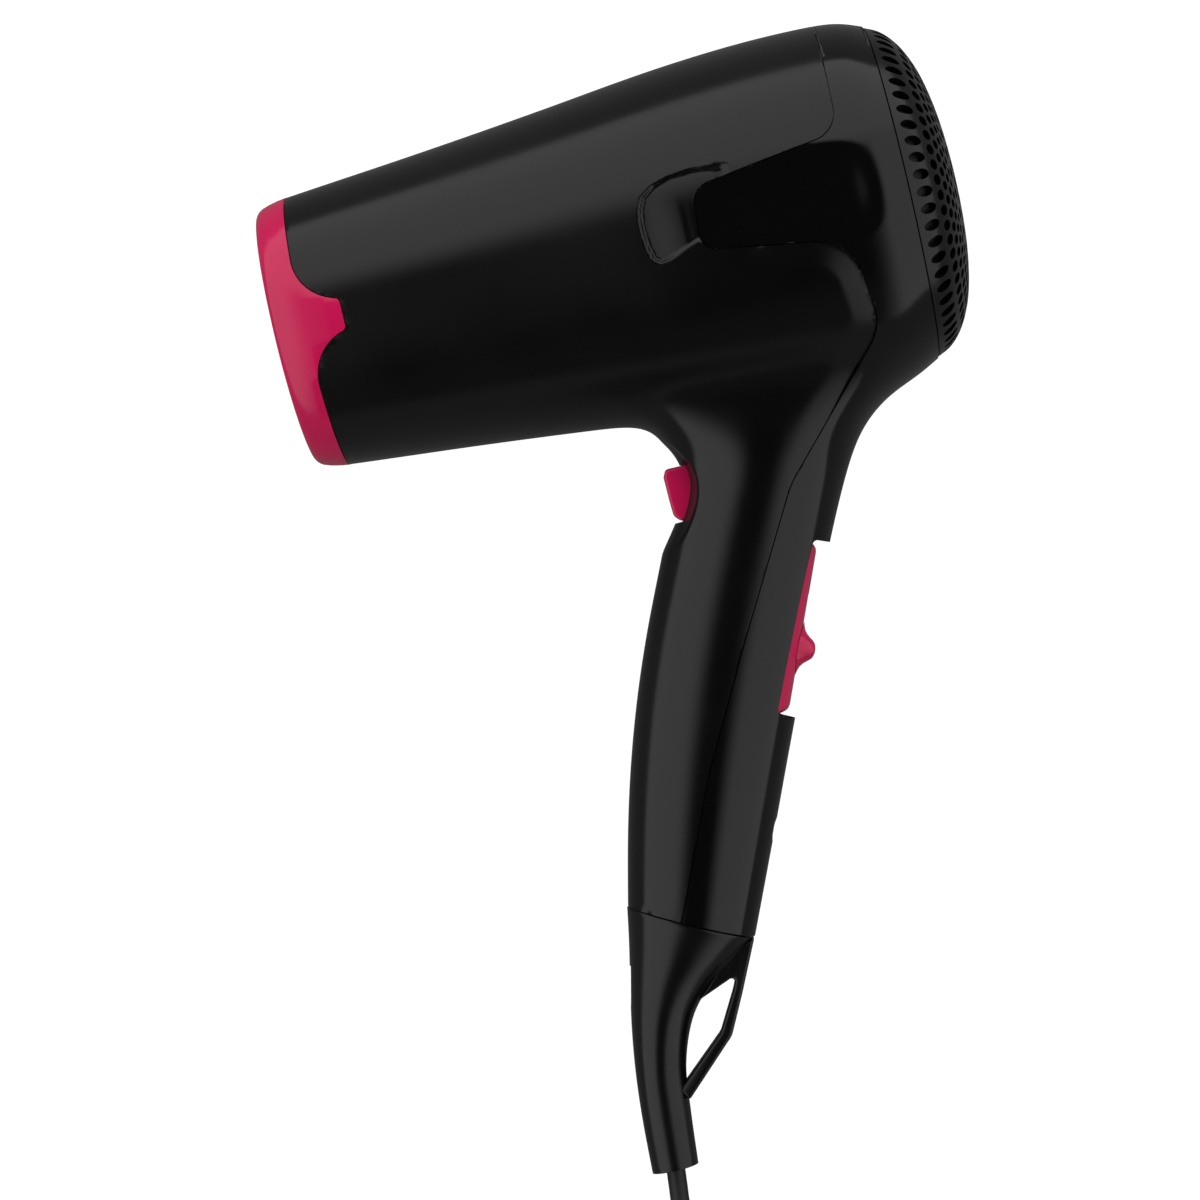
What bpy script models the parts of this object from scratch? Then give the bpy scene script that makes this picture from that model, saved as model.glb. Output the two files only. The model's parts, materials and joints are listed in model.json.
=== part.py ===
"""Hand-held hair dryer with its cord wound up, lying on its side on the floor. Sizes are in metres.

The dryer is modelled upright: X runs from the outlet to the inlet along the barrel's axis, Z is up,
and the handle hangs down. An empty then lays it on its side. The cord is modelled where it lies.
"""

import math

import bmesh
import bpy
from mathutils import Matrix, Vector

GAP = 0.0003
WALL = 0.0022

# Barrel: distance from the outlet, and radius, at each ring of the housing's cage.
BARREL_STATIONS = (
    (0.0040, 0.0356),
    (0.0180, 0.0369),
    (0.0450, 0.0392),
    (0.0740, 0.0422),
    (0.0880, 0.0438),
    (0.1030, 0.0456),
    (0.1190, 0.0470),
    (0.1350, 0.0478),
    (0.1500, 0.0477),
    (0.1590, 0.0471),
    (0.1652, 0.0445),
)
BARREL_SIDES = 24
HANDLE_SIDES = 16
NECK_FIRST, NECK_LAST = 4, 8
NECK_REACH = 2
NECK_SAG = {8: 0.0035, 9: 0.0008}

# Handle: front point, rear point and half width of each section, from the neck to the boot.
HANDLE_SECTIONS = (
    ((0.0922, -0.0545), (0.1410, -0.0580), 0.0205),
    ((0.0879, -0.0670), (0.1345, -0.0690), 0.0182),
    ((0.0822, -0.0800), (0.1285, -0.0810), 0.0174),
    ((0.0752, -0.0950), (0.1215, -0.0960), 0.0170),
    ((0.0683, -0.1120), (0.1125, -0.1160), 0.0167),
    ((0.0622, -0.1300), (0.1041, -0.1350), 0.0163),
    ((0.0572, -0.1480), (0.0955, -0.1550), 0.0155),
    ((0.0532, -0.1658), (0.0840, -0.1811), 0.0140),
)
BOOT_SECTIONS = (
    ((0.0529, -0.1661), (0.0836, -0.1815), 0.0138),
    ((0.0512, -0.1755), (0.0765, -0.1862), 0.0123),
    ((0.0488, -0.1870), (0.0690, -0.1916), 0.0103),
    ((0.0466, -0.1985), (0.0629, -0.1989), 0.0084),
    ((0.0450, -0.2100), (0.0586, -0.2101), 0.0071),
    ((0.0440, -0.2220), (0.0570, -0.2225), 0.0065),
    ((0.0434, -0.2360), (0.0558, -0.2360), 0.0062),
)

BOOT_HOLLOW = (
    ((0.0553, -0.1620), (0.0820, -0.1750), 0.0114),
    ((0.0536, -0.1755), (0.0741, -0.1845), 0.0099),
    ((0.0515, -0.1885), (0.0680, -0.1885), 0.0079),
)
CLAMP_X, CLAMP_SCREW_Y, CLAMP_HEIGHT = 0.0597, 0.0050, 0.0030
SCREW_HEAD_HEIGHT = 0.0016

# Parting line between the shells, seen from the side: corners and the radius of each.
SEAM_CORNERS = (
    ((0.1534, 0.0600), 0),
    ((0.1512, 0.0150), 0.0075),
    ((0.1122, 0.0097), 0.0055),
    ((0.1112, -0.0062), 0.0045),
    ((0.1480, -0.0120), 0.0130),
    ((0.1512, -0.0345), 0.0110),
    ((0.1200, -0.0680), 0.0250),
    ((0.0995, -0.1042), 0.0800),
    ((0.0825, -0.1357), 0.0800),
    ((0.0600, -0.1870), 0),
)

# Outlet ring and its two side tabs.
RING_LENGTH = 0.0082
RING_RIM_RADIUS = 0.0342
RING_BORE = 0.0318
TAB_REACH = 0.0186
TAB_HALF_WIDTH = 0.0042
TAB_FLANK_RADIUS = 0.0128
SPIGOT_RADIUS = 0.0334
GRILLE_START, GRILLE_END = 0.0070, 0.0090
GRILLE_BAR = 0.0010

# Inlet.
INLET_PROFILE = (
    (0.1656, 0.0440),
    (0.1692, 0.0422),
    (0.1725, 0.0388),
    (0.1752, 0.0340),
    (0.1772, 0.0282),
    (0.1788, 0.0200),
    (0.1797, 0.0105),
)
INLET_APEX = 0.1800
INLET_WALL = 0.0018
SKIRT_LENGTH, SKIRT_RADIUS = 0.0050, 0.0412
FILTER_X, FILTER_RADIUS = 0.1560, 0.0405
# Rows of holes: distance from the axis, count, half width, half length, and lean in degrees.
HOLE_ROWS = (
    (0.0408, 20, 0.0018, 0.0036, 44),
    (0.0335, 16, 0.0020, 0.0028, 62),
    (0.0255, 12, 0.0021, 0.0026, 74),
    (0.0165, 8, 0.0021, 0.0024, 82),
)

# Heater, fan and motor.
SLEEVE_RADIUS = 0.0314
SLEEVE_START, SLEEVE_END = 0.0094, 0.0955
HEATER_START, HEATER_END = 0.0170, 0.0820
PLATE_HALF_WIDTH = 0.0240
PLATE_THICKNESS = 0.0006
WIRE_RADIUS = 0.0006
WINDING_TURNS = 8
STATOR_START, STATOR_END = 0.0960, 0.1180
STATOR_RADIUS = 0.0420
MOTOR_START, MOTOR_END = 0.0930, 0.1160
MOTOR_RADIUS = 0.0125
HUB_RADIUS = 0.0150
FAN_RADIUS = 0.0400
FAN_START, FAN_END = 0.1215, 0.1385
FAN_BLADES = 7
BLADE_SECTIONS = ((0.0095, 38, 0.013), (0.0240, 50, 0.016), (FAN_RADIUS, 60, 0.019))
SHAFT_RADIUS = 0.0010

# Route of the two wires up the handle; one runs on each side of the middle.
INNER_WIRE_ROUTE = (
    (0.0690, 0.0070, -0.1590),
    (0.0760, 0.0095, -0.1400),
    (0.0830, 0.0105, -0.1200),
    (0.0910, 0.0105, -0.1000),
    (0.0990, 0.0110, -0.0800),
    (0.1020, 0.0115, -0.0620),
    (0.0960, 0.0105, -0.0480),
    (0.0900, 0.0080, -0.0380),
)

# Screw in the back of the handle, under its cover.
SCREW_HEAD, SCREW_WAY = Vector((0.0955, 0.0, -0.1550)), Vector((-0.921, 0.0, 0.389))

# Switches.
PANEL_TOP, PANEL_FOOT = Vector((0.1239, 0.0, -0.0837)), Vector((0.1056, 0.0, -0.1270))
PANEL_HALF_WIDTH = 0.0104
PANEL_DEPTH, PANEL_EDGE_DEPTH = 0.0001, 0.0029
KNOB_FROM_TOP = 0.0288
# Knob: height above the insert, half length along the handle, and half width of each section.
KNOB_SECTIONS = (
    (GAP, 0.0062, 0.0052),
    (0.0008, 0.0044, 0.0048),
    (0.0022, 0.0030, 0.0044),
    (0.0036, 0.0023, 0.0040),
    (0.0041, 0.0012, 0.0032),
)
KNOB_TRAVEL = 0.0110
BUTTON_FACE = 0.0884
BUTTON_TOP, BUTTON_FOOT = -0.0566, -0.0706
BUTTON_HALF_WIDTH = 0.0072

# Cord.
CORD_RADIUS = 0.0025
CORD_EXIT = Vector((0.0496, 0.0, -0.2363))
COIL_INNER, COIL_OUTER = 0.0203, 0.0369
COIL_LIFT, COIL_HEIGHT = 0.0012, 0.0203
COIL_ASIDE, COIL_BEYOND = 0.0200, 0.0620
PLUG_BEYOND, PLUG_ASIDE, PLUG_HEIGHT = 0.0575, 0.0310, 0.0137
PLUG_SECTIONS = (
    (0.0000, 0.0036, 0.0036),
    (0.0180, 0.0048, 0.0048),
    (0.0205, 0.0090, 0.0084),
    (0.0270, 0.0152, 0.0122),
    (0.0370, 0.0174, 0.0135),
    (0.0550, 0.0174, 0.0135),
    (0.0565, 0.0164, 0.0125),
)
PIN_RADIUS, PIN_LENGTH, PIN_PITCH = 0.0024, 0.0190, 0.0190

COLOURS = {
    "black_gloss": ((0.006, 0.006, 0.007), 0.16, 0.0),
    "black_satin": ((0.010, 0.010, 0.011), 0.32, 0.0),
    "pink_gloss": ((0.58, 0.012, 0.092), 0.18, 0.0),
    "black_rubber": ((0.012, 0.012, 0.012), 0.55, 0.0),
    "mica": ((0.55, 0.50, 0.40), 0.45, 0.0),
    "resistance_wire": ((0.42, 0.40, 0.38), 0.40, 1.0),
    "steel": ((0.62, 0.62, 0.64), 0.30, 1.0),
    "brass": ((0.72, 0.52, 0.22), 0.28, 1.0),
    "white_plastic": ((0.70, 0.70, 0.67), 0.45, 0.0),
    "board_green": ((0.03, 0.20, 0.08), 0.50, 0.0),
    "red_wire": ((0.45, 0.02, 0.02), 0.45, 0.0),
    "blue_wire": ((0.03, 0.08, 0.40), 0.45, 0.0),
}


# ---------------------------------------------------------------- tools for making the pieces


def material(name):
    if name in bpy.data.materials:
        return bpy.data.materials[name]
    made = bpy.data.materials.new(name)
    made.use_nodes = True
    colour, roughness, metallic = COLOURS[name]
    shader = made.node_tree.nodes["Principled BSDF"]
    shader.inputs["Base Color"].default_value = (*colour, 1.0)
    shader.inputs["Roughness"].default_value = roughness
    shader.inputs["Metallic"].default_value = metallic
    made.diffuse_color = (*colour, 1.0)
    return made


def attached(obj, parent):
    """The shapes are made where they stay, so the parent's own place is taken off again."""
    obj.parent = parent
    if parent:
        obj.matrix_parent_inverse = parent.matrix_basis.inverted()
    return obj


def add_object(name, bm, finish=None, parent=None):
    """A mesh object in the parts' collection, or a hidden cutter where no finish is given."""
    bmesh.ops.remove_doubles(bm, verts=bm.verts, dist=1e-7)
    bmesh.ops.recalc_face_normals(bm, faces=bm.faces)
    mesh = bpy.data.meshes.new(name)
    bm.to_mesh(mesh)
    bm.free()
    obj = attached(bpy.data.objects.new(name, mesh), parent)
    if finish is None:
        cutters.objects.link(obj)
        obj.hide_render = True
        obj.display_type = "WIRE"
        return obj
    mesh.shade_smooth()
    mesh.set_sharp_from_angle(angle=math.radians(35))
    mesh.materials.append(material(finish))
    parts.objects.link(obj)
    return obj


def join(obj, cutter, operation):
    boolean = obj.modifiers.new(f"{operation.lower()} {cutter.name}", "BOOLEAN")
    boolean.operation = operation
    boolean.solver = "EXACT"
    boolean.object = cutter
    return obj


def loft(rings, close_ends=True):
    """A skin through rings of points, each ring with as many points as the one before."""
    bm = bmesh.new()
    loops = [[bm.verts.new(point) for point in ring] for ring in rings]
    for near, far in zip(loops, loops[1:]):
        for k in range(len(near)):
            n = (k + 1) % len(near)
            bm.faces.new((near[k], near[n], far[n], far[k]))
    if close_ends:
        bm.faces.new(loops[0])
        bm.faces.new(loops[-1])
    return bm


def prism(outline, half_width):
    """A flat outline of (x, z) points, extruded across the dryer."""
    return loft([[(x, y, z) for x, z in outline] for y in (-half_width, half_width)])


def circle(x, radius, sides):
    angles = [2 * math.pi * k / sides for k in range(sides)]
    return [(x, radius * math.sin(a), -radius * math.cos(a)) for a in angles]


def turned(profile, sides, closed=True):
    """A shape turned about X. A closed profile makes a ring, an open one ends on the axis."""
    rings = [circle(x, radius, sides) for x, radius in profile]
    if closed:
        return loft(rings + rings[:1], close_ends=False)
    return loft(rings)


def frame_of(origin, direction, across=(0.0, 1.0, 0.0)):
    """Turns a shape made along X so that it starts at origin and runs along direction."""
    along = Vector(direction).normalized()
    side = Vector(across)
    side = (side - side.dot(along) * along).normalized()
    turn = Matrix((along, side, along.cross(side))).transposed().to_4x4()
    return Matrix.Translation(origin) @ turn


def moved(bm, matrix):
    bmesh.ops.transform(bm, matrix=matrix, verts=bm.verts)
    return bm


def block(low, high):
    bm = bmesh.new()
    bmesh.ops.create_cube(bm, size=1.0)
    size = Vector(high) - Vector(low)
    bmesh.ops.scale(bm, vec=size, verts=bm.verts)
    bmesh.ops.translate(bm, vec=(Vector(low) + Vector(high)) / 2, verts=bm.verts)
    return bm


def bevelled(obj, width, segments=1):
    bevel = obj.modifiers.new("rounded edges", "BEVEL")
    bevel.width = width
    bevel.segments = segments
    bevel.limit_method = "ANGLE"
    bevel.angle_limit = math.radians(40)
    return obj


def wire(name, points, radius, finish, parent=None, resolution=2):
    curve = bpy.data.curves.new(name, "CURVE")
    curve.dimensions = "3D"
    curve.bevel_depth = radius
    curve.bevel_resolution = resolution
    curve.use_fill_caps = True
    spline = curve.splines.new("POLY")
    spline.points.add(len(points) - 1)
    for knot, point in zip(spline.points, points):
        knot.co = (*point, 1.0)
    obj = attached(bpy.data.objects.new(name, curve), parent)
    curve.materials.append(material(finish))
    parts.objects.link(obj)
    return obj


def smooth_path(points, spacing):
    """Points evenly spaced along a smooth curve through the route's own points."""
    ends = [2 * points[0] - points[1]] + list(points) + [2 * points[-1] - points[-2]]
    fine = []
    for a, b, c, d in zip(ends, ends[1:], ends[2:], ends[3:]):
        for k in range(24):
            t = k / 24
            fine.append(
                0.5 * (2 * b + (c - a) * t + (2 * a - 5 * b + 4 * c - d) * t * t)
                + 0.5 * (3 * b - a - 3 * c + d) * t**3
            )
    fine.append(points[-1])
    lengths = [0.0]
    for near, far in zip(fine, fine[1:]):
        lengths.append(lengths[-1] + (far - near).length)
    count = max(2, round(lengths[-1] / spacing))
    even, i = [], 0
    for k in range(count + 1):
        want = lengths[-1] * k / count
        while i < len(fine) - 2 and lengths[i + 1] < want:
            i += 1
        step = max(lengths[i + 1] - lengths[i], 1e-9)
        even.append(fine[i].lerp(fine[i + 1], (want - lengths[i]) / step))
    return even


def rounded(corners, steps=4):
    """A path through corners, each given as a point and the radius it is rounded to."""
    path = []
    for i, (corner, radius) in enumerate(corners):
        here = Vector(corner)
        if not radius:
            path.append(here)
            continue
        back = (Vector(corners[i - 1][0]) - here).normalized()
        ahead = (Vector(corners[(i + 1) % len(corners)][0]) - here).normalized()
        half = back.angle(ahead) / 2
        middle = here + (back + ahead).normalized() * radius / math.sin(half)
        start = here + back * radius / math.tan(half) - middle
        sweep = (math.pi - 2 * half) * (1 if back.cross(ahead) < 0 else -1)
        for k in range(steps + 1):
            turn = Matrix.Rotation(sweep * k / steps, 2)
            path.append(middle + turn @ start)
    return path


def shifted(path, distance):
    """The path moved sideways, to its left as it runs."""
    out = []
    for i, point in enumerate(path):
        run = (path[min(i + 1, len(path) - 1)] - path[max(i - 1, 0)]).normalized()
        out.append(point + distance * Vector((-run.y, run.x)))
    return out


def oval(front, rear, half_width, sides, grow=1.0):
    """A section across the handle, from its front point round to its rear point and back."""
    front, rear = Vector((front[0], 0.0, front[1])), Vector((rear[0], 0.0, rear[1]))
    middle, reach = (front + rear) / 2, (front - rear) / 2
    side = Vector((0.0, half_width, 0.0))
    angles = [2 * math.pi * k / sides for k in range(sides)]
    return [middle + grow * (reach * math.cos(a) + side * math.sin(a)) for a in angles]


def swelling(sides):
    """How much larger a cage's ring is than the round surface that it subdivides to."""
    return 3 / (2 + math.cos(2 * math.pi / sides))


# ---------------------------------------------------------------- housing


def housing_cage():
    """A tube of square faces, whose underside opens into a second tube, the handle."""
    bm = bmesh.new()
    grow = swelling(BARREL_SIDES)
    rings = []
    for i, (x, radius) in enumerate(BARREL_STATIONS):
        ring = [bm.verts.new(point) for point in circle(x, radius * grow, BARREL_SIDES)]
        for k, vert in enumerate(ring):
            below = max(0.0, math.cos(2 * math.pi * k / BARREL_SIDES))
            vert.co.z -= NECK_SAG.get(i, 0.0) * below**6
        rings.append(ring)
    for i, (near, far) in enumerate(zip(rings, rings[1:])):
        for k in range(-BARREL_SIDES // 2, BARREL_SIDES // 2):
            if NECK_FIRST <= i < NECK_LAST and -NECK_REACH <= k < NECK_REACH:
                continue
            bm.faces.new((near[k], near[k + 1], far[k + 1], far[k]))
    first, last = rings[NECK_FIRST], rings[NECK_LAST]
    between = rings[NECK_FIRST + 1 : NECK_LAST]
    mouth = [first[k] for k in range(NECK_REACH + 1)]
    mouth += [ring[NECK_REACH] for ring in between]
    mouth += [last[k] for k in range(NECK_REACH, -NECK_REACH - 1, -1)]
    mouth += [ring[-NECK_REACH] for ring in reversed(between)]
    mouth += [first[k] for k in range(-NECK_REACH, 0)]
    grow = swelling(HANDLE_SIDES)
    for front, rear, half_width in HANDLE_SECTIONS:
        section = oval(front, rear, half_width, HANDLE_SIDES, grow)
        ring = [bm.verts.new(point) for point in section]
        for k in range(HANDLE_SIDES):
            n = (k + 1) % HANDLE_SIDES
            bm.faces.new((mouth[k], mouth[n], ring[n], ring[k]))
        mouth = ring
    return bm


def housing_shell(name, finish):
    shell = add_object(name, housing_cage(), finish, dryer)
    smooth = shell.modifiers.new("smooth skin", "SUBSURF")
    smooth.levels = smooth.render_levels = 1
    wall = shell.modifiers.new("wall", "SOLIDIFY")
    wall.thickness = WALL
    wall.offset = -1
    wall.use_even_offset = True
    return shell


def rear_region(inset):
    """Everything behind the parting line, seen from the side."""
    line = shifted(rounded(SEAM_CORNERS), inset)
    return [tuple(p) for p in line] + [(0.300, -0.187), (0.300, 0.060)]


def outlet_edge(grow):
    """The ring's rear edge with the flared flanks of its tab, from the bottom up."""
    flank_x = RING_LENGTH + TAB_FLANK_RADIUS
    drop = math.acos((flank_x - TAB_REACH + 0.0008) / TAB_FLANK_RADIUS)
    flank_z = TAB_HALF_WIDTH + TAB_FLANK_RADIUS * math.sin(drop)
    lower = [Vector((RING_LENGTH, -0.060))]
    for k in range(7):
        angle = drop * k / 6
        x = flank_x - TAB_FLANK_RADIUS * math.cos(angle)
        lower.append(Vector((x, TAB_FLANK_RADIUS * math.sin(angle) - flank_z)))
    lower.append(Vector((TAB_REACH, -TAB_HALF_WIDTH + 0.0012)))
    upper = [Vector((p.x, -p.y)) for p in reversed(lower)]
    return shifted(lower + upper, -grow)


def ring_region(grow):
    edge = [tuple(p) for p in outlet_edge(grow)]
    return edge + [(-0.020, 0.060), (-0.020, -0.060)]


def panel_frame(depth=0.0, along=0.0):
    """X runs down the handle's back from the panel's top end, Z points out of the handle."""
    run = (PANEL_FOOT - PANEL_TOP).normalized()
    out = Vector((-run.z, 0.0, run.x))
    turn = Matrix((run, Vector((0.0, 1.0, 0.0)), out)).transposed().to_4x4()
    return Matrix.Translation(PANEL_TOP + run * along - out * depth) @ turn


def panel_length():
    return (PANEL_FOOT - PANEL_TOP).length


def slot_block(low, high, depth=0.0, along=0.0):
    return moved(block(low, high), panel_frame(depth, along))


def make_housing():
    front = housing_shell("front_shell", "black_satin")
    rear = housing_shell("rear_shell", "black_gloss")
    behind = add_object("parting_front", prism(rear_region(-GAP / 2), 0.070), None, dryer)
    kept = add_object("parting_rear", prism(rear_region(GAP / 2), 0.070), None, dryer)
    ring = add_object("ring_seat", prism(ring_region(GAP), 0.070), None, dryer)
    join(front, behind, "DIFFERENCE")
    join(front, ring, "DIFFERENCE")
    join(rear, kept, "INTERSECT")

    reach = BUTTON_HALF_WIDTH + GAP
    outline = [
        (0.080, BUTTON_TOP + GAP),
        (0.0965, BUTTON_TOP + GAP),
        (0.0965, BUTTON_FOOT - GAP),
        (0.080, BUTTON_FOOT - GAP),
    ]
    button_hole = add_object("button_hole", prism(outline, reach), None, dryer)
    join(front, button_hole, "DIFFERENCE")

    reach = PANEL_HALF_WIDTH + GAP
    opening = slot_block((0.0, -reach, -0.0075), (panel_length(), reach, 0.010))
    window = add_object("switch_window", opening, None, dryer)
    join(rear, window, "DIFFERENCE")

    for name, shell, start, end, radius, operation in (
        ("rear_boss", rear, 0.0012, 0.0115, 0.0046, "UNION"),
        ("cover_seat", rear, -0.0040, 0.0052, 0.0033, "DIFFERENCE"),
        ("rear_screw_way", rear, 0.0040, 0.0140, 0.0017, "DIFFERENCE"),
        ("front_boss", front, 0.0120, 0.0372, 0.0034, "UNION"),
        ("front_screw_way", front, 0.0100, 0.0220, 0.0017, "DIFFERENCE"),
    ):
        rod = turned([(start, radius), (end, radius)], 12, closed=False)
        place = frame_of(SCREW_HEAD, SCREW_WAY)
        join(shell, add_object(name, moved(rod, place), None, dryer), operation)


def make_outlet_ring():
    skirt = [
        (0.0, RING_BORE),
        (0.0, RING_RIM_RADIUS - 0.0012),
        (0.0009, RING_RIM_RADIUS),
        (0.0035, 0.0352),
        (0.0085, 0.0361),
        (0.0200, 0.0371),
        (0.0200, 0.0350),
        (0.0060, 0.0336),
        (0.0060, RING_BORE),
    ]
    spigot = [
        (0.0040, RING_BORE),
        (0.0040, SPIGOT_RADIUS),
        (0.0150, SPIGOT_RADIUS),
        (0.0150, RING_BORE),
    ]
    ring = add_object("outlet_ring", turned(skirt, 40), "pink_gloss", dryer)
    kept = add_object("ring_outline", prism(ring_region(0.0), 0.070), None, dryer)
    tube = add_object("ring_spigot", turned(spigot, 40), None, dryer)
    join(ring, kept, "INTERSECT")
    join(ring, tube, "UNION")


def make_outlet_grille():
    outer = RING_BORE - GAP
    start, end = GRILLE_START, GRILLE_END
    rim = [(start, outer - 0.0018), (start, outer), (end, outer), (end, outer - 0.0018)]
    grille = add_object("outlet_grille", turned(rim, 24), "black_satin", dryer)
    for name, radius in (("grille_ring_mid", 0.0210), ("grille_ring_hub", 0.0105)):
        inner = radius - GRILLE_BAR
        band = [(start, inner), (start, radius), (end, radius), (end, inner)]
        join(grille, add_object(name, turned(band, 16), None, dryer), "UNION")
    for k in range(3):
        reach, half = outer - 0.0006, GRILLE_BAR / 2
        bar = block((start + 0.0002, -reach, -half), (end - 0.0002, reach, half))
        moved(bar, Matrix.Rotation(math.pi * k / 3, 4, "X"))
        join(grille, add_object(f"grille_bar_{k}", bar, None, dryer), "UNION")


# ---------------------------------------------------------------- heater


def make_heater():
    sleeve = [
        (SLEEVE_START, SLEEVE_RADIUS - 0.0005),
        (SLEEVE_START, SLEEVE_RADIUS),
        (SLEEVE_END, SLEEVE_RADIUS),
        (SLEEVE_END, SLEEVE_RADIUS - 0.0005),
    ]
    add_object("heater_sleeve", turned(sleeve, 32), "mica", dryer)
    half, middle = PLATE_THICKNESS / 2, (HEATER_START + HEATER_END) / 2
    reach = half + GAP
    for name, slot_start, slot_end in (
        ("heater_plate_flat", HEATER_START - 0.01, middle + GAP),
        ("heater_plate_upright", middle - GAP, HEATER_END + 0.01),
    ):
        body = block((HEATER_START, -PLATE_HALF_WIDTH, -half), (HEATER_END, PLATE_HALF_WIDTH, half))
        slot = block((slot_start, -reach, -0.005), (slot_end, reach, 0.005))
        if name.endswith("upright"):
            quarter = Matrix.Rotation(math.pi / 2, 4, "X")
            moved(body, quarter)
            moved(slot, quarter)
        plate = add_object(name, body, "mica", dryer)
        join(plate, add_object(f"{name}_slot", slot, None, dryer), "DIFFERENCE")
    radius = PLATE_HALF_WIDTH + WIRE_RADIUS * 1.5 + GAP
    start, run = HEATER_START + 0.006, HEATER_END - HEATER_START - 0.012
    steps = WINDING_TURNS * 4
    winding = []
    for k in range(steps + 1):
        angle = math.pi * k / 2
        place = (radius * math.sin(angle), radius * math.cos(angle))
        winding.append(Vector((start + run * k / steps, *place)))
    wire("heater_winding", winding, WIRE_RADIUS, "resistance_wire", dryer, resolution=1)
    cutout = block((0.060, 0.006, 0.0006), (0.072, 0.013, 0.0046))
    bevelled(add_object("thermostat", cutout, "steel", dryer), 0.0006)
    fuse = turned([(0.0, 0.0015), (0.011, 0.0015)], 12, closed=False)
    moved(fuse, Matrix.Translation((0.058, -0.010, 0.0022)))
    add_object("thermal_fuse", fuse, "brass", dryer)


# ---------------------------------------------------------------- fan and motor


def make_stator():
    start, end = STATOR_START, STATOR_END
    duct = [
        (start, STATOR_RADIUS - 0.0015),
        (start, STATOR_RADIUS),
        (end, STATOR_RADIUS + 0.0020),
        (end, STATOR_RADIUS + 0.0005),
    ]
    hub = [
        (start, MOTOR_RADIUS + GAP),
        (start, HUB_RADIUS),
        (end, HUB_RADIUS),
        (end, MOTOR_RADIUS + GAP),
    ]
    stator = add_object("fan_stator", turned(duct, 32), "black_satin", dryer)
    join(stator, add_object("stator_hub", turned(hub, 24), None, dryer), "UNION")
    for k in range(6):
        foot, tip = HUB_RADIUS - 0.001, STATOR_RADIUS - 0.0008
        vane = block((-0.008, -0.0006, foot), (0.008, 0.0006, tip))
        moved(vane, Matrix.Rotation(math.radians(24), 4, "Z"))
        moved(vane, Matrix.Translation(((start + end) / 2, 0.0, 0.0)))
        moved(vane, Matrix.Rotation(2 * math.pi * k / 6, 4, "X"))
        join(stator, add_object(f"stator_vane_{k}", vane, None, dryer), "UNION")


def make_motor():
    start, end = MOTOR_START, MOTOR_END
    can = [
        (start, MOTOR_RADIUS - 0.001),
        (start + 0.001, MOTOR_RADIUS),
        (end - 0.001, MOTOR_RADIUS),
        (end, MOTOR_RADIUS - 0.001),
    ]
    motor = add_object("motor_can", turned(can, 24, closed=False), "steel", dryer)
    bore = turned([(0.100, SHAFT_RADIUS + GAP), (0.130, SHAFT_RADIUS + GAP)], 12, closed=False)
    join(motor, add_object("bearing_bore", bore, None, dryer), "DIFFERENCE")
    cap = turned([(start - 0.0033, 0.0108), (start - GAP, 0.0118)], 24, closed=False)
    add_object("motor_end_cap", cap, "white_plastic", dryer)
    board = block((start - 0.0052, -0.0085, -0.0085), (start - 0.0036, 0.0085, 0.0085))
    add_object("rectifier_board", board, "board_green", dryer)
    shaft = turned([(0.1005, SHAFT_RADIUS), (FAN_END + 0.002, SHAFT_RADIUS)], 12, closed=False)
    add_object("motor_shaft", shaft, "steel", spin)


def make_fan():
    hub = [
        (FAN_START, SHAFT_RADIUS + GAP),
        (FAN_START, 0.0135),
        (FAN_END - 0.004, 0.0120),
        (FAN_END, 0.0060),
        (FAN_END, SHAFT_RADIUS + GAP),
    ]
    fan = add_object("fan_rotor", turned(hub, 28), "black_satin", spin)
    for k in range(FAN_BLADES):
        rings = []
        for radius, pitch, chord in BLADE_SECTIONS:
            angle = math.radians(pitch)
            run = Vector((math.cos(angle), math.sin(angle), 0.0)) * chord / 2
            thick = Vector((-math.sin(angle), math.cos(angle), 0.0)) * 0.0006
            base = Vector(((FAN_START + FAN_END) / 2 - 0.001, 0.0, radius))
            corners = (-run - thick, run - thick, run + thick, thick - run)
            rings.append([tuple(base + corner) for corner in corners])
        blade = moved(loft(rings), Matrix.Rotation(2 * math.pi * k / FAN_BLADES, 4, "X"))
        join(fan, add_object(f"fan_blade_{k}", blade, None, spin), "UNION")


# ---------------------------------------------------------------- inlet


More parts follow.
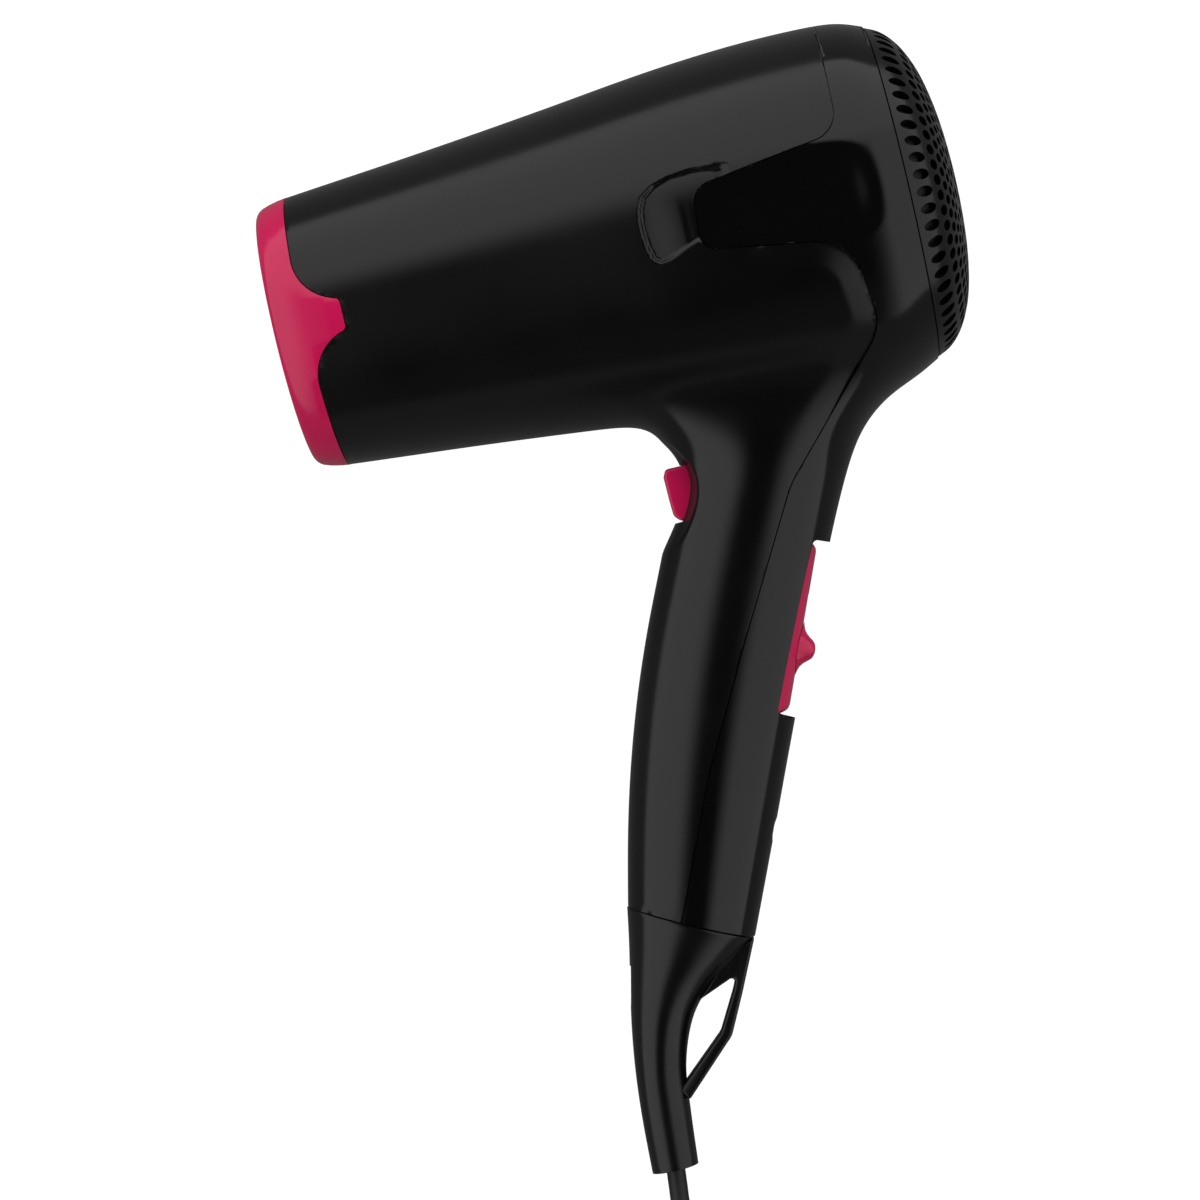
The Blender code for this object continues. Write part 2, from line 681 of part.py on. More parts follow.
def make_inlet_grille():
    inner = [(x - INLET_WALL * 0.75, radius - INLET_WALL * 0.7) for x, radius in INLET_PROFILE]
    skirt, skirt_radius = INLET_PROFILE[0][0] - SKIRT_LENGTH, SKIRT_RADIUS
    profile = [(skirt, skirt_radius - 0.0012), (skirt, skirt_radius)]
    profile.append((INLET_PROFILE[0][0], skirt_radius))
    profile += list(INLET_PROFILE) + [(INLET_APEX, 0.0040), (INLET_APEX - INLET_WALL, 0.0040)]
    profile += [p for p in reversed(inner[1:])] + [(0.1668, skirt_radius - 0.0012)]
    grille = add_object("inlet_grille", turned(profile, 32), "black_satin", pull)
    button = turned([(INLET_APEX - INLET_WALL, 0.0050), (INLET_APEX, 0.0046)], 16, closed=False)
    join(grille, add_object("grille_centre", button, None, pull), "UNION")
    holes = bmesh.new()
    for radius, count, half_width, half_length, lean in HOLE_ROWS:
        for k in range(count):
            hole = turned([(-0.004, 1.0), (0.004, 1.0)], 6, closed=False)
            for vert in hole.verts:
                vert.co.y *= half_width
                vert.co.z *= half_length
            x = 0.1656 + 0.0144 * math.sqrt(max(0.0, 1 - (radius / 0.0440) ** 2))
            moved(hole, Matrix.Rotation(math.radians(lean - 90), 4, "Y"))
            moved(hole, Matrix.Translation((x - 0.0008, 0.0, radius)))
            moved(hole, Matrix.Rotation(2 * math.pi * (k + 0.5) / count, 4, "X"))
            mesh = bpy.data.meshes.new("hole")
            hole.to_mesh(mesh)
            hole.free()
            holes.from_mesh(mesh)
            bpy.data.meshes.remove(mesh)
    join(grille, add_object("grille_holes", holes, None, pull), "DIFFERENCE")


def make_inlet_filter():
    x, outer = FILTER_X, FILTER_RADIUS
    inner = outer - 0.0025
    rim = [(x, inner), (x, outer), (x + 0.0012, outer), (x + 0.0012, inner)]
    disc = add_object("inlet_filter", turned(rim, 32), "steel", dryer)
    for k in range(3):
        reach = outer - 0.0015
        bar = block((x + 0.0002, -reach, -0.0006), (x + 0.0010, reach, 0.0006))
        moved(bar, Matrix.Rotation(math.pi * k / 3, 4, "X"))
        join(disc, add_object(f"filter_bar_{k}", bar, None, dryer), "UNION")


# ---------------------------------------------------------------- switches in the handle


def panel_section(x, rise):
    """A section across the insert: its crowned top, and its underside."""
    crown = PANEL_EDGE_DEPTH - PANEL_DEPTH
    top = []
    for k in range(7):
        y = PANEL_HALF_WIDTH * (1 - k / 3)
        edge = PANEL_HALF_WIDTH * PANEL_HALF_WIDTH
        top.append((x, y, -PANEL_EDGE_DEPTH + crown * rise * (1 - y * y / edge)))
    under = [(x, y, -PANEL_EDGE_DEPTH - 0.0020) for y in (-PANEL_HALF_WIDTH, PANEL_HALF_WIDTH)]
    return top + under


def knob_section(rise, long, wide):
    """A rounded section through the knob, this far above the insert."""
    angles = [2 * math.pi * (k + 0.5) / 12 for k in range(12)]
    return [(long * math.cos(a), wide * math.sin(a), rise) for a in angles]


def make_slide_switch():
    length = panel_length()
    rings = []
    for x, rise in ((GAP, 0.0), (0.0008, 0.55), (0.0030, 1.0), (length / 2, 1.0)):
        rings.append(panel_section(x, rise))
    rings += [[(length - x, y, z) for x, y, z in ring] for ring in reversed(rings[:-1])]
    panel = add_object("switch_panel", moved(loft(rings), panel_frame()), "pink_gloss", dryer)
    slot_start = KNOB_FROM_TOP - KNOB_TRAVEL - 0.0036
    slot_end = KNOB_FROM_TOP + 0.0036
    low, high = (slot_start, -0.0022, -0.012), (slot_end, 0.0022, 0.004)
    slot = slot_block(low, high)
    join(panel, add_object("knob_slot", slot, None, dryer), "DIFFERENCE")

    rings = [knob_section(*section) for section in KNOB_SECTIONS]
    top = moved(loft(rings), panel_frame(PANEL_DEPTH, KNOB_FROM_TOP))
    knob = add_object("speed_slider", top, "pink_gloss", slide)
    low, high = (-0.0032, -0.0018, -0.0074), (0.0032, 0.0018, 0.0010)
    stem = slot_block(low, high, PANEL_DEPTH, KNOB_FROM_TOP)
    join(knob, add_object("knob_stem", stem, None, slide), "UNION")

    low = (KNOB_FROM_TOP - KNOB_TRAVEL - 0.006, -0.0055, -0.0160)
    high = (KNOB_FROM_TOP + 0.006, 0.0055, -0.0077)
    body = slot_block(low, high, PANEL_DEPTH)
    bevelled(add_object("slide_switch_body", body, "white_plastic", dryer), 0.0005)
    low, high = (0.004, -0.0080, -0.0180), (0.044, 0.0080, -0.0164)
    board = slot_block(low, high, PANEL_DEPTH)
    add_object("control_board", board, "board_green", dryer)
    low, high = (0.008, -0.0060, -0.0270), (0.026, 0.0060, -0.0183)
    box = slot_block(low, high, PANEL_DEPTH)
    bevelled(add_object("noise_capacitor", box, "white_plastic", dryer), 0.0006)


def make_cool_shot():
    half, top, foot = BUTTON_HALF_WIDTH, BUTTON_TOP, BUTTON_FOOT
    outline = [
        (BUTTON_FACE + 0.0006, top),
        (0.0962, top),
        (0.0962, foot),
        (BUTTON_FACE + 0.0016, foot),
        (BUTTON_FACE, foot + 0.0016),
        (BUTTON_FACE - 0.0003, top - 0.0020),
    ]
    button = add_object("cool_shot_button", prism(outline, half), "pink_gloss", press)
    flange = block((0.0972, -half - 0.0012, foot - 0.001), (0.0984, half + 0.0012, top + 0.001))
    neck = block((0.0955, -half + 0.001, foot + 0.001), (0.0980, half - 0.001, top - 0.001))
    join(button, add_object("button_flange", flange, None, press), "UNION")
    join(button, add_object("button_neck", neck, None, press), "UNION")
    middle = (top + foot) / 2
    turns, radius = 4, 0.0022
    path = []
    for k in range(turns * 8 + 1):
        angle = 2 * math.pi * k / 8
        x = 0.0993 + 0.0062 * k / (turns * 8)
        path.append(Vector((x, radius * math.sin(angle), middle + radius * math.cos(angle))))
    wire("cool_shot_spring", path, 0.0003, "steel", dryer, resolution=1)
    body = block((0.1062, -0.0050, middle - 0.0060), (0.1122, 0.0050, middle + 0.0060))
    bevelled(add_object("cool_shot_switch", body, "white_plastic", dryer), 0.0005)


# ---------------------------------------------------------------- screws, boot and cord clamp


def screw(name, place, along, length):
    profile = [
        (0.0, 0.0022),
        (0.0006, 0.0028),
        (SCREW_HEAD_HEIGHT, 0.0028),
        (SCREW_HEAD_HEIGHT, 0.0014),
        (length - 0.001, 0.0014),
        (length, 0.0007),
    ]
    body = turned(profile, 12, closed=False)
    made = add_object(name, moved(body, frame_of(place, along)), "steel", dryer)
    recess = block((-0.001, -0.0014, -0.0003), (0.0008, 0.0014, 0.0003))
    cross = add_object(f"{name}_slot", moved(recess, frame_of(place, along)), None, dryer)
    return join(made, cross, "DIFFERENCE")


def make_screws():
    cover = turned([(0.0004, 0.0029), (0.0022, 0.0029)], 16, closed=False)
    add_object("screw_cover", moved(cover, frame_of(SCREW_HEAD, SCREW_WAY)), "black_satin", dryer)
    screw("handle_screw", SCREW_HEAD + SCREW_WAY * 0.0033, SCREW_WAY, 0.016)


def boot_strap():
    """The hanging loop's outer bar, seen from the side."""
    outer = [
        ((0.0838, -0.1812), 0),
        ((0.0775, -0.1945), 0.030),
        ((0.0722, -0.2050), 0.006),
        ((0.0575, -0.2190), 0),
        ((0.0555, -0.2160), 0),
        ((0.0694, -0.2036), 0.005),
        ((0.0744, -0.1930), 0.030),
        ((0.0760, -0.1850), 0),
    ]
    return [tuple(p) for p in rounded(outer, 2)]


def make_boot():
    sides = 20
    skin = loft([oval(*section, sides) for section in BOOT_SECTIONS])
    boot = add_object("handle_boot", skin, "black_gloss", dryer)
    strap = add_object("boot_loop", prism(boot_strap(), 0.0042), None, dryer)
    join(boot, bevelled(strap, 0.0008), "UNION")
    hollow = loft([oval(*section, 16) for section in BOOT_HOLLOW])
    join(boot, add_object("boot_hollow", hollow, None, dryer), "DIFFERENCE")
    for name, y in (("screw_way_left", -CLAMP_SCREW_Y), ("screw_way_right", CLAMP_SCREW_Y)):
        way = turned([(-0.001, 0.0017), (0.008, 0.0017)], 12, closed=False)
        moved(way, frame_of((CLAMP_X, y, BOOT_HOLLOW[-1][0][1]), (0.0, 0.0, -1.0)))
        join(boot, add_object(name, way, None, dryer), "DIFFERENCE")
    bore = turned([(-0.055, CORD_RADIUS + GAP), (0.003, CORD_RADIUS + GAP)], 12, closed=False)
    bore = moved(bore, frame_of(CORD_EXIT, (-0.02, 0.0, -1.0)))
    join(boot, add_object("boot_bore", bore, None, dryer), "DIFFERENCE")


def make_cord_clamp():
    floor = BOOT_HOLLOW[-1][0][1]
    top = floor + CLAMP_HEIGHT
    bar = block((CLAMP_X - 0.003, -0.0072, floor + GAP), (CLAMP_X + 0.003, 0.0072, top))
    clamp = add_object("cord_clamp", bar, "white_plastic", dryer)
    for name, y in (("clamp_screw_left", -CLAMP_SCREW_Y), ("clamp_screw_right", CLAMP_SCREW_Y)):
        hole = turned([(-0.006, 0.0017), (0.006, 0.0017)], 12, closed=False)
        moved(hole, frame_of((CLAMP_X, y, floor), (0.0, 0.0, -1.0)))
        join(clamp, add_object(f"{name}_hole", hole, None, dryer), "DIFFERENCE")
        screw(name, Vector((CLAMP_X, y, top + GAP + SCREW_HEAD_HEIGHT)), (0.0, 0.0, -1.0), 0.0095)
    cord_way = turned([(-0.006, CORD_RADIUS + GAP), (0.006, CORD_RADIUS + GAP)], 12, closed=False)
    moved(cord_way, frame_of((CLAMP_X, 0.0, floor), (0.0, 0.0, -1.0)))
    join(clamp, add_object("clamp_cord_way", cord_way, None, dryer), "DIFFERENCE")


def make_inner_wires():
    for name, finish, side in (("wire_live", "red_wire", -1), ("wire_neutral", "blue_wire", 1)):
        points = [Vector((x, y * side, z)) for x, y, z in INNER_WIRE_ROUTE]
        wire(name, smooth_path(points, 0.008), 0.0008, finish, dryer, resolution=1)


# ---------------------------------------------------------------- cord and plug, where they lie


def lay_on_its_side():
    """Lays the dryer down: it rests on the outlet ring, the barrel's side and the boot's end."""
    lean = pitch = 0.0
    ring_x, ring_radius = 0.0085, 0.0361
    side_x, side_radius = BARREL_STATIONS[NECK_FIRST + 1]
    front, rear, end_radius = BOOT_SECTIONS[-1]
    end_x, end_z = (front[0] + rear[0]) / 2, front[1]
    for _ in range(8):
        stretch = math.sqrt(1 + lean * lean)
        pitch = (side_radius - ring_radius) * stretch / (side_x - ring_x)
        height = ring_radius * stretch - pitch * ring_x
        lean = (height + pitch * end_x - end_radius * math.sqrt(1 + pitch * pitch)) / -end_z
    up = Vector((pitch, -1.0, lean)).normalized()
    along = Vector((1.0, 0.0, 0.0))
    along = (along - along.dot(up) * up).normalized()
    dryer.matrix_world = Matrix((along, up.cross(along), up)).to_4x4()
    bpy.context.view_layer.update()
    low = Vector((math.inf,) * 3)
    high = -low
    graph = bpy.context.evaluated_depsgraph_get()
    for obj in parts.objects:
        if obj.type == "EMPTY":
            continue
        seen = obj.evaluated_get(graph)
        mesh = seen.to_mesh()
        for vert in mesh.vertices:
            point = seen.matrix_world @ vert.co
            low = Vector(map(min, low, point))
            high = Vector(map(max, high, point))
        seen.to_mesh_clear()
    dryer.location = (-(low.x + high.x) / 2, -(low.y + high.y) / 2, -low.z)
    bpy.context.view_layer.update()


def cord_places():
    """Where the cord leaves the boot, the way it leaves, the coil's centre and the coil's entry side."""
    start = dryer.matrix_world @ CORD_EXIT
    way = (dryer.matrix_world.to_3x3() @ Vector((-0.10, 0.0, -1.0))).normalized()
    centre = Vector((start.x + COIL_ASIDE, start.y - COIL_BEYOND, 0.0))
    return start, way, centre, centre.x - COIL_OUTER + CORD_RADIUS


def make_cord_ends():
    """The lead sinks to the floor and meets the coil, and the tail runs from its top to the plug."""
    start, way, centre, side_x = cord_places()
    low = COIL_LIFT + CORD_RADIUS + GAP
    high = COIL_LIFT + COIL_HEIGHT - CORD_RADIUS
    meets = math.sqrt(COIL_OUTER**2 - (COIL_OUTER - 2 * CORD_RADIUS) ** 2) + GAP
    lead = [
        start,
        start + way * 0.008,
        Vector((start.x - 0.0020, start.y - 0.0170, low + 0.0012)),
        Vector((side_x + 0.0030, start.y - 0.0290, low)),
        Vector((side_x, centre.y + meets, low)),
    ]
    wire("cord_lead", smooth_path(lead, 0.005), CORD_RADIUS, "black_rubber", resolution=2)
    plug_x = side_x + PLUG_ASIDE
    tail = [
        Vector((side_x, centre.y - meets, high)),
        Vector((side_x + 0.0010, centre.y - meets - 0.0090, high - 0.0012)),
        Vector((side_x + 0.0080, centre.y - PLUG_BEYOND + 0.0090, PLUG_HEIGHT + 0.0020)),
        Vector((side_x + 0.0190, centre.y - PLUG_BEYOND + 0.0010, PLUG_HEIGHT + 0.0003)),
        Vector((plug_x - GAP, centre.y - PLUG_BEYOND, PLUG_HEIGHT)),
    ]
    wire("cord_tail", smooth_path(tail, 0.005), CORD_RADIUS, "black_rubber", resolution=2)


def make_coil():
    centre = cord_places()[2]
    top = COIL_LIFT + COIL_HEIGHT
    corner = 0.0010
    ring = [
        (COIL_LIFT, COIL_INNER + corner),
        (COIL_LIFT, COIL_OUTER - corner),
        (COIL_LIFT + corner, COIL_OUTER),
        (top - corner, COIL_OUTER),
        (top, COIL_OUTER - corner),
        (top, COIL_INNER + corner),
        (top - corner, COIL_INNER),
        (COIL_LIFT + corner, COIL_INNER),
    ]
    upright = Matrix.Translation(centre) @ Matrix.Rotation(-math.pi / 2, 4, "Y")
    add_object("cord_coil", moved(turned(ring, 32), upright), "black_rubber")

    half, middle = (COIL_OUTER - COIL_INNER) / 2, (COIL_INNER + COIL_OUTER) / 2
    place = Matrix.Translation(centre + Vector((middle, 0.0, 0.0)))
    band = []
    for wide, low in ((half + 0.0011, 0.0001), (half + GAP, COIL_LIFT - GAP)):
        high = top + COIL_LIFT - low
        band.append([(-wide, low), (wide, low), (wide, high), (-wide, high)])
    tie = add_object("cord_tie", moved(prism(band[0], 0.0030), place), "black_rubber")
    core = add_object("tie_core", moved(prism(band[1], 0.0100), place), None)
    join(tie, core, "DIFFERENCE")


def make_plug():
    centre, side_x = cord_places()[2:]
    place = Vector((side_x + PLUG_ASIDE, centre.y - PLUG_BEYOND, PLUG_HEIGHT))
    rings = []
    for along, half_width, half_height in PLUG_SECTIONS:
        angles = [2 * math.pi * (k + 0.5) / 20 for k in range(20)]
        ring = [(along, half_width * math.cos(a), half_height * math.sin(a)) for a in angles]
        rings.append(ring)
    add_object("plug_body", moved(loft(rings), Matrix.Translation(place)), "black_rubber")
    face = PLUG_SECTIONS[-1][0]
    for name, side in (("plug_pin_left", 1), ("plug_pin_right", -1)):
        shoulder, tip = face + PIN_LENGTH - 0.001, face + PIN_LENGTH
        profile = [(face + GAP, PIN_RADIUS), (shoulder, PIN_RADIUS), (tip, PIN_RADIUS - 0.001)]
        pin = turned(profile, 12, closed=False)
        moved(pin, Matrix.Translation(place + Vector((0.0, side * PIN_PITCH / 2, 0.0))))
        add_object(name, pin, "brass")


parts = bpy.data.collections.new("hair_dryer")
cutters = bpy.data.collections.new("cutters")
for old in list(bpy.data.objects):
    bpy.data.objects.remove(old)
for made in (parts, cutters):
    bpy.context.scene.collection.children.link(made)


def add_empty(name, parent=None, place=(0.0, 0.0, 0.0)):
    empty = bpy.data.objects.new(name, None)
    empty.parent = parent
    empty.location = place
    parts.objects.link(empty)
    return empty


dryer = add_empty("dryer_lying")
spin = add_empty("fan_axis", dryer, (FAN_START, 0.0, 0.0))
pull = add_empty("inlet_grille_pull", dryer, (INLET_APEX, 0.0, 0.0))
slide = add_empty("slider_travel", dryer, panel_frame(PANEL_DEPTH, KNOB_FROM_TOP).translation)
press = add_empty("button_travel", dryer, (BUTTON_FACE, 0.0, (BUTTON_TOP + BUTTON_FOOT) / 2))

make_housing()
make_outlet_ring()
make_outlet_grille()
make_heater()
make_stator()
make_motor()
make_fan()
make_inlet_grille()
make_inlet_filter()
make_slide_switch()
make_cool_shot()
make_screws()
make_boot()
make_cord_clamp()
make_inner_wires()
lay_on_its_side()
make_cord_ends()
make_coil()
make_plug()
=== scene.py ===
"""A hair dryer with its cord wound up and tied, lying on its side on a pale floor.

The pieces are shaped upright, in the dryer's own axes: X runs from the air outlet to the inlet
along the barrel, Z is up and the handle hangs down. Each one is then laid down with the dryer.
Sizes are in metres.
"""

import json
import math

import bmesh
import bpy
from mathutils import Matrix, Vector


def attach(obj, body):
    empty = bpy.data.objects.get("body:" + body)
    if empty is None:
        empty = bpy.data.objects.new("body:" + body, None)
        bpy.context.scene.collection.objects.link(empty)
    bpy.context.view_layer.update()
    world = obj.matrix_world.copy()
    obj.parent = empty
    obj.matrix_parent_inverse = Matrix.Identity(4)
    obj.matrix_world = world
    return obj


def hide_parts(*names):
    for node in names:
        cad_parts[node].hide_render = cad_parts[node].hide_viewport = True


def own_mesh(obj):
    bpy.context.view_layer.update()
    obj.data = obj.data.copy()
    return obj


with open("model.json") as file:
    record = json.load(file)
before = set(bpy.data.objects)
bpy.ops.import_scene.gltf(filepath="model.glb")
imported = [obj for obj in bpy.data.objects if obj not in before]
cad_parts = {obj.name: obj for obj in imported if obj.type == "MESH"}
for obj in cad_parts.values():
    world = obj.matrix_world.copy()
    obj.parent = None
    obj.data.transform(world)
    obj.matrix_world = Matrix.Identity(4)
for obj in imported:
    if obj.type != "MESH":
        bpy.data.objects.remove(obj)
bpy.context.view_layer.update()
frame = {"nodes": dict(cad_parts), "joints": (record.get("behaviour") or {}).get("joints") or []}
nodes = frame["nodes"]

# ------------------------------------------------------------------ camera, floor and light
# The dryer's own axes are read back from its joints: the fan turns on the barrel's axis, and the
# cool-shot button sits straight below it. The camera looks down on the dryer's side. A white floor
# and soft panels to the left, right and top light it, and the ceiling behind the camera is dark.

joints = {joint["name"]: joint for joint in frame["joints"]}
fan_from_outlet, button_from_outlet = 0.1215, 0.0884
barrel_way = Vector(joints["fan_spin"]["axis"]).normalized()
outlet_centre = Vector(joints["fan_spin"]["pos_m"]) - barrel_way * fan_from_outlet
above_button = outlet_centre + barrel_way * button_from_outlet
upright_way = above_button - Vector(joints["cool_shot_press"]["pos_m"])
upright_way = (upright_way - upright_way.dot(barrel_way) * barrel_way).normalized()
side_way = upright_way.cross(barrel_way)
lay_down = Matrix((barrel_way, side_way, upright_way)).transposed().to_4x4()
lay_down.translation = outlet_centre

camera_spot, camera_aim = Vector((0.1046, -1.048, -0.0860)), Vector((0.0644, 0.0, -0.0859))
camera_roll, camera_view_width = math.radians(13.2), 0.3158
look = (camera_aim - camera_spot).normalized()
right = Vector((math.cos(camera_roll), 0.0, -math.sin(camera_roll)))
right = (right - right.dot(look) * look).normalized()
turned_camera = Matrix((right, right.cross(look), -look)).transposed().to_4x4()
turned_camera.translation = camera_spot
bpy.ops.object.select_all(action="DESELECT")
bpy.ops.object.camera_add()
camera = bpy.context.object
camera.name = "camera"
camera.matrix_world = lay_down @ turned_camera
camera.data.sensor_width = 36.0
camera.data.lens = 18.0 * (camera_aim - camera_spot).length / (camera_view_width / 2)
camera.data.clip_start, camera.data.clip_end = 0.05, 30.0
bpy.context.scene.camera = camera
bpy.context.scene.view_settings.view_transform = "Standard"

bpy.ops.mesh.primitive_plane_add(size=12.0, location=(0.0, 0.0, 0.0))
floor = bpy.context.object
floor.name = "floor"
floor_paint = bpy.data.materials.new("white floor")
floor_paint.use_nodes = True
tree = floor_paint.node_tree
paint = tree.nodes["Principled BSDF"]
paint.inputs["Base Color"].default_value = (0.16, 0.16, 0.16, 1.0)
paint.inputs["Roughness"].default_value = 0.9
paint.inputs["Specular IOR Level"].default_value = 0.0
paint.inputs["Emission Color"].default_value = (1.0, 1.0, 1.0, 1.0)
seen = tree.nodes.new("ShaderNodeLightPath")
glow = tree.nodes.new("ShaderNodeMapRange")
glow.inputs["To Min"].default_value = 0.05
glow.inputs["To Max"].default_value = 1.0
tree.links.new(seen.outputs["Is Camera Ray"], glow.inputs["Value"])
tree.links.new(glow.outputs["Result"], paint.inputs["Emission Strength"])
floor.data.materials.append(floor_paint)

# The studio round the dryer: one soft panel on each side of the camera's dark ceiling.
studio = bpy.data.worlds.new("studio")
bpy.context.scene.world = studio
studio.use_nodes = True
tree = studio.node_tree
sky = tree.nodes["Background"]
sky.inputs["Color"].default_value = (1.0, 1.0, 1.0, 1.0)
direction = tree.nodes.new("ShaderNodeTexCoord")
parts_of = tree.nodes.new("ShaderNodeSeparateXYZ")
tree.links.new(direction.outputs["Generated"], parts_of.inputs["Vector"])
brightest = None
for axis, start, end, level in (
    ("X", -0.30, -0.62, 0.95),
    ("X", 0.07, 0.42, 0.80),
    ("Y", 0.16, 0.55, 0.95),
    ("Y", -0.80, -0.98, 0.06),
):
    panel = tree.nodes.new("ShaderNodeMapRange")
    panel.interpolation_type = "SMOOTHSTEP"
    panel.inputs["From Min"].default_value = start
    panel.inputs["From Max"].default_value = end
    panel.inputs["To Min"].default_value = 0.012
    panel.inputs["To Max"].default_value = level
    tree.links.new(parts_of.outputs[axis], panel.inputs["Value"])
    if brightest:
        most = tree.nodes.new("ShaderNodeMath")
        most.operation = "MAXIMUM"
        tree.links.new(brightest, most.inputs[0])
        tree.links.new(panel.outputs["Result"], most.inputs[1])
        brightest = most.outputs["Value"]
    else:
        brightest = panel.outputs["Result"]
seen = tree.nodes.new("ShaderNodeLightPath")
white = tree.nodes.new("ShaderNodeMath")
white.operation = "MAXIMUM"
tree.links.new(brightest, white.inputs[0])
tree.links.new(seen.outputs["Is Camera Ray"], white.inputs[1])
tree.links.new(white.outputs["Value"], sky.inputs["Strength"])

# ------------------------------------------------------------------ mains cord
# A round flexible PVC cord, 5 mm thick and 1.8 m long, in matt black. It leaves the boot, sinks to
# the floor, is wound in nine turns laid in four layers, and comes off the top towards the plug.
# The wound turns are held together by a rubber tie.

cord_thickness, cord_length = 0.0050, 1.8
cord_radius = cord_thickness / 2
gap = 0.0003
coil_inner, coil_outer = 0.0203, 0.0369
coil_lift, coil_height = 0.0012, 0.0203
coil_layers, coil_turns_a_layer = 4, 2.25
cord_exit = lay_down @ Vector((0.0496, 0.0, -0.2363))
cord_way = (lay_down.to_3x3() @ Vector((-0.10, 0.0, -1.0))).normalized()
coil_centre = Vector((cord_exit.x + 0.0200, cord_exit.y - 0.0620, 0.0))
coil_side = coil_centre.x - coil_outer + cord_radius
coil_low = coil_lift + cord_radius + gap
coil_high = coil_lift + coil_height - cord_radius
meets = math.sqrt(coil_outer**2 - (coil_outer - 2 * cord_radius) ** 2) + gap
plug_beyond, plug_aside, plug_height = 0.0575, 0.0310, 0.0137
plug_spot = Vector((coil_side + plug_aside, coil_centre.y - plug_beyond, plug_height))


def smooth_path(points, spacing):
    """Points evenly spaced along a smooth curve through the route's own points."""
    ends = [2 * points[0] - points[1]] + list(points) + [2 * points[-1] - points[-2]]
    fine = []
    for a, b, c, d in zip(ends, ends[1:], ends[2:], ends[3:]):
        for k in range(24):
            t = k / 24
            fine.append(
                0.5 * (2 * b + (c - a) * t + (2 * a - 5 * b + 4 * c - d) * t * t)
                + 0.5 * (3 * b - a - 3 * c + d) * t**3
            )
    fine.append(points[-1])
    lengths = [0.0]
    for near, far in zip(fine, fine[1:]):
        lengths.append(lengths[-1] + (far - near).length)
    count = max(2, round(lengths[-1] / spacing))
    even, i = [], 0
    for k in range(count + 1):
        want = lengths[-1] * k / count
        while i < len(fine) - 2 and lengths[i + 1] < want:
            i += 1
        step = max(lengths[i + 1] - lengths[i], 1e-9)
        even.append(fine[i].lerp(fine[i + 1], (want - lengths[i]) / step))
    return even


lead_route = [
    cord_exit,
    cord_exit + cord_way * 0.008,
    Vector((cord_exit.x - 0.0020, cord_exit.y - 0.0170, coil_low + 0.0012)),
    Vector((coil_side + 0.0030, cord_exit.y - 0.0290, coil_low)),
    Vector((coil_side, coil_centre.y + meets, coil_low)),
]
tail_route = [
    Vector((coil_side, coil_centre.y - meets, coil_high)),
    Vector((coil_side + 0.0010, coil_centre.y - meets - 0.0090, coil_high - 0.0012)),
    Vector((coil_side + 0.0080, plug_spot.y + 0.0090, plug_height + 0.0020)),
    Vector((coil_side + 0.0190, plug_spot.y + 0.0010, plug_height + 0.0003)),
    Vector((plug_spot.x - gap, plug_spot.y, plug_height)),
]
cord_points = smooth_path(lead_route, 0.0025)
layer_rise = (coil_high - coil_lift - cord_radius) / (coil_layers - 1)
coil_steps = round(coil_layers * coil_turns_a_layer * 40)
coil_reach = coil_outer - cord_radius - 0.0001
cord_pitch = (coil_outer - coil_inner - 2 * cord_radius - 0.0002) / coil_turns_a_layer
for k in range(coil_steps + 1):
    turns = k / 40
    layer = min(int(turns / coil_turns_a_layer), coil_layers - 1)
    within = turns - layer * coil_turns_a_layer
    inward = within if layer % 2 == 0 else coil_turns_a_layer - within
    reach = coil_reach - cord_pitch * inward
    climbing = max(0.0, min(1.0, (within - coil_turns_a_layer + 0.12) / 0.12))
    climbing = climbing if layer < coil_layers - 1 else 0.0
    height = coil_lift + cord_radius + layer_rise * (layer + climbing * climbing * (3 - 2 * climbing))
    angle = math.pi + 2 * math.pi * turns
    cord_points.append(
        Vector((coil_centre.x + reach * math.cos(angle), coil_centre.y + reach * math.sin(angle), height))
    )
cord_points += smooth_path(tail_route, 0.0025)
line = bpy.data.curves.new("mains_cord", "CURVE")
line.dimensions = "3D"
line.bevel_depth = cord_radius
line.bevel_resolution = 4
line.use_fill_caps = True
spline = line.splines.new("POLY")
spline.points.add(len(cord_points) - 1)
for knot, point in zip(spline.points, cord_points):
    knot.co = (*point, 1.0)
mains_cord = bpy.data.objects.new("mains_cord", line)
bpy.context.scene.collection.objects.link(mains_cord)


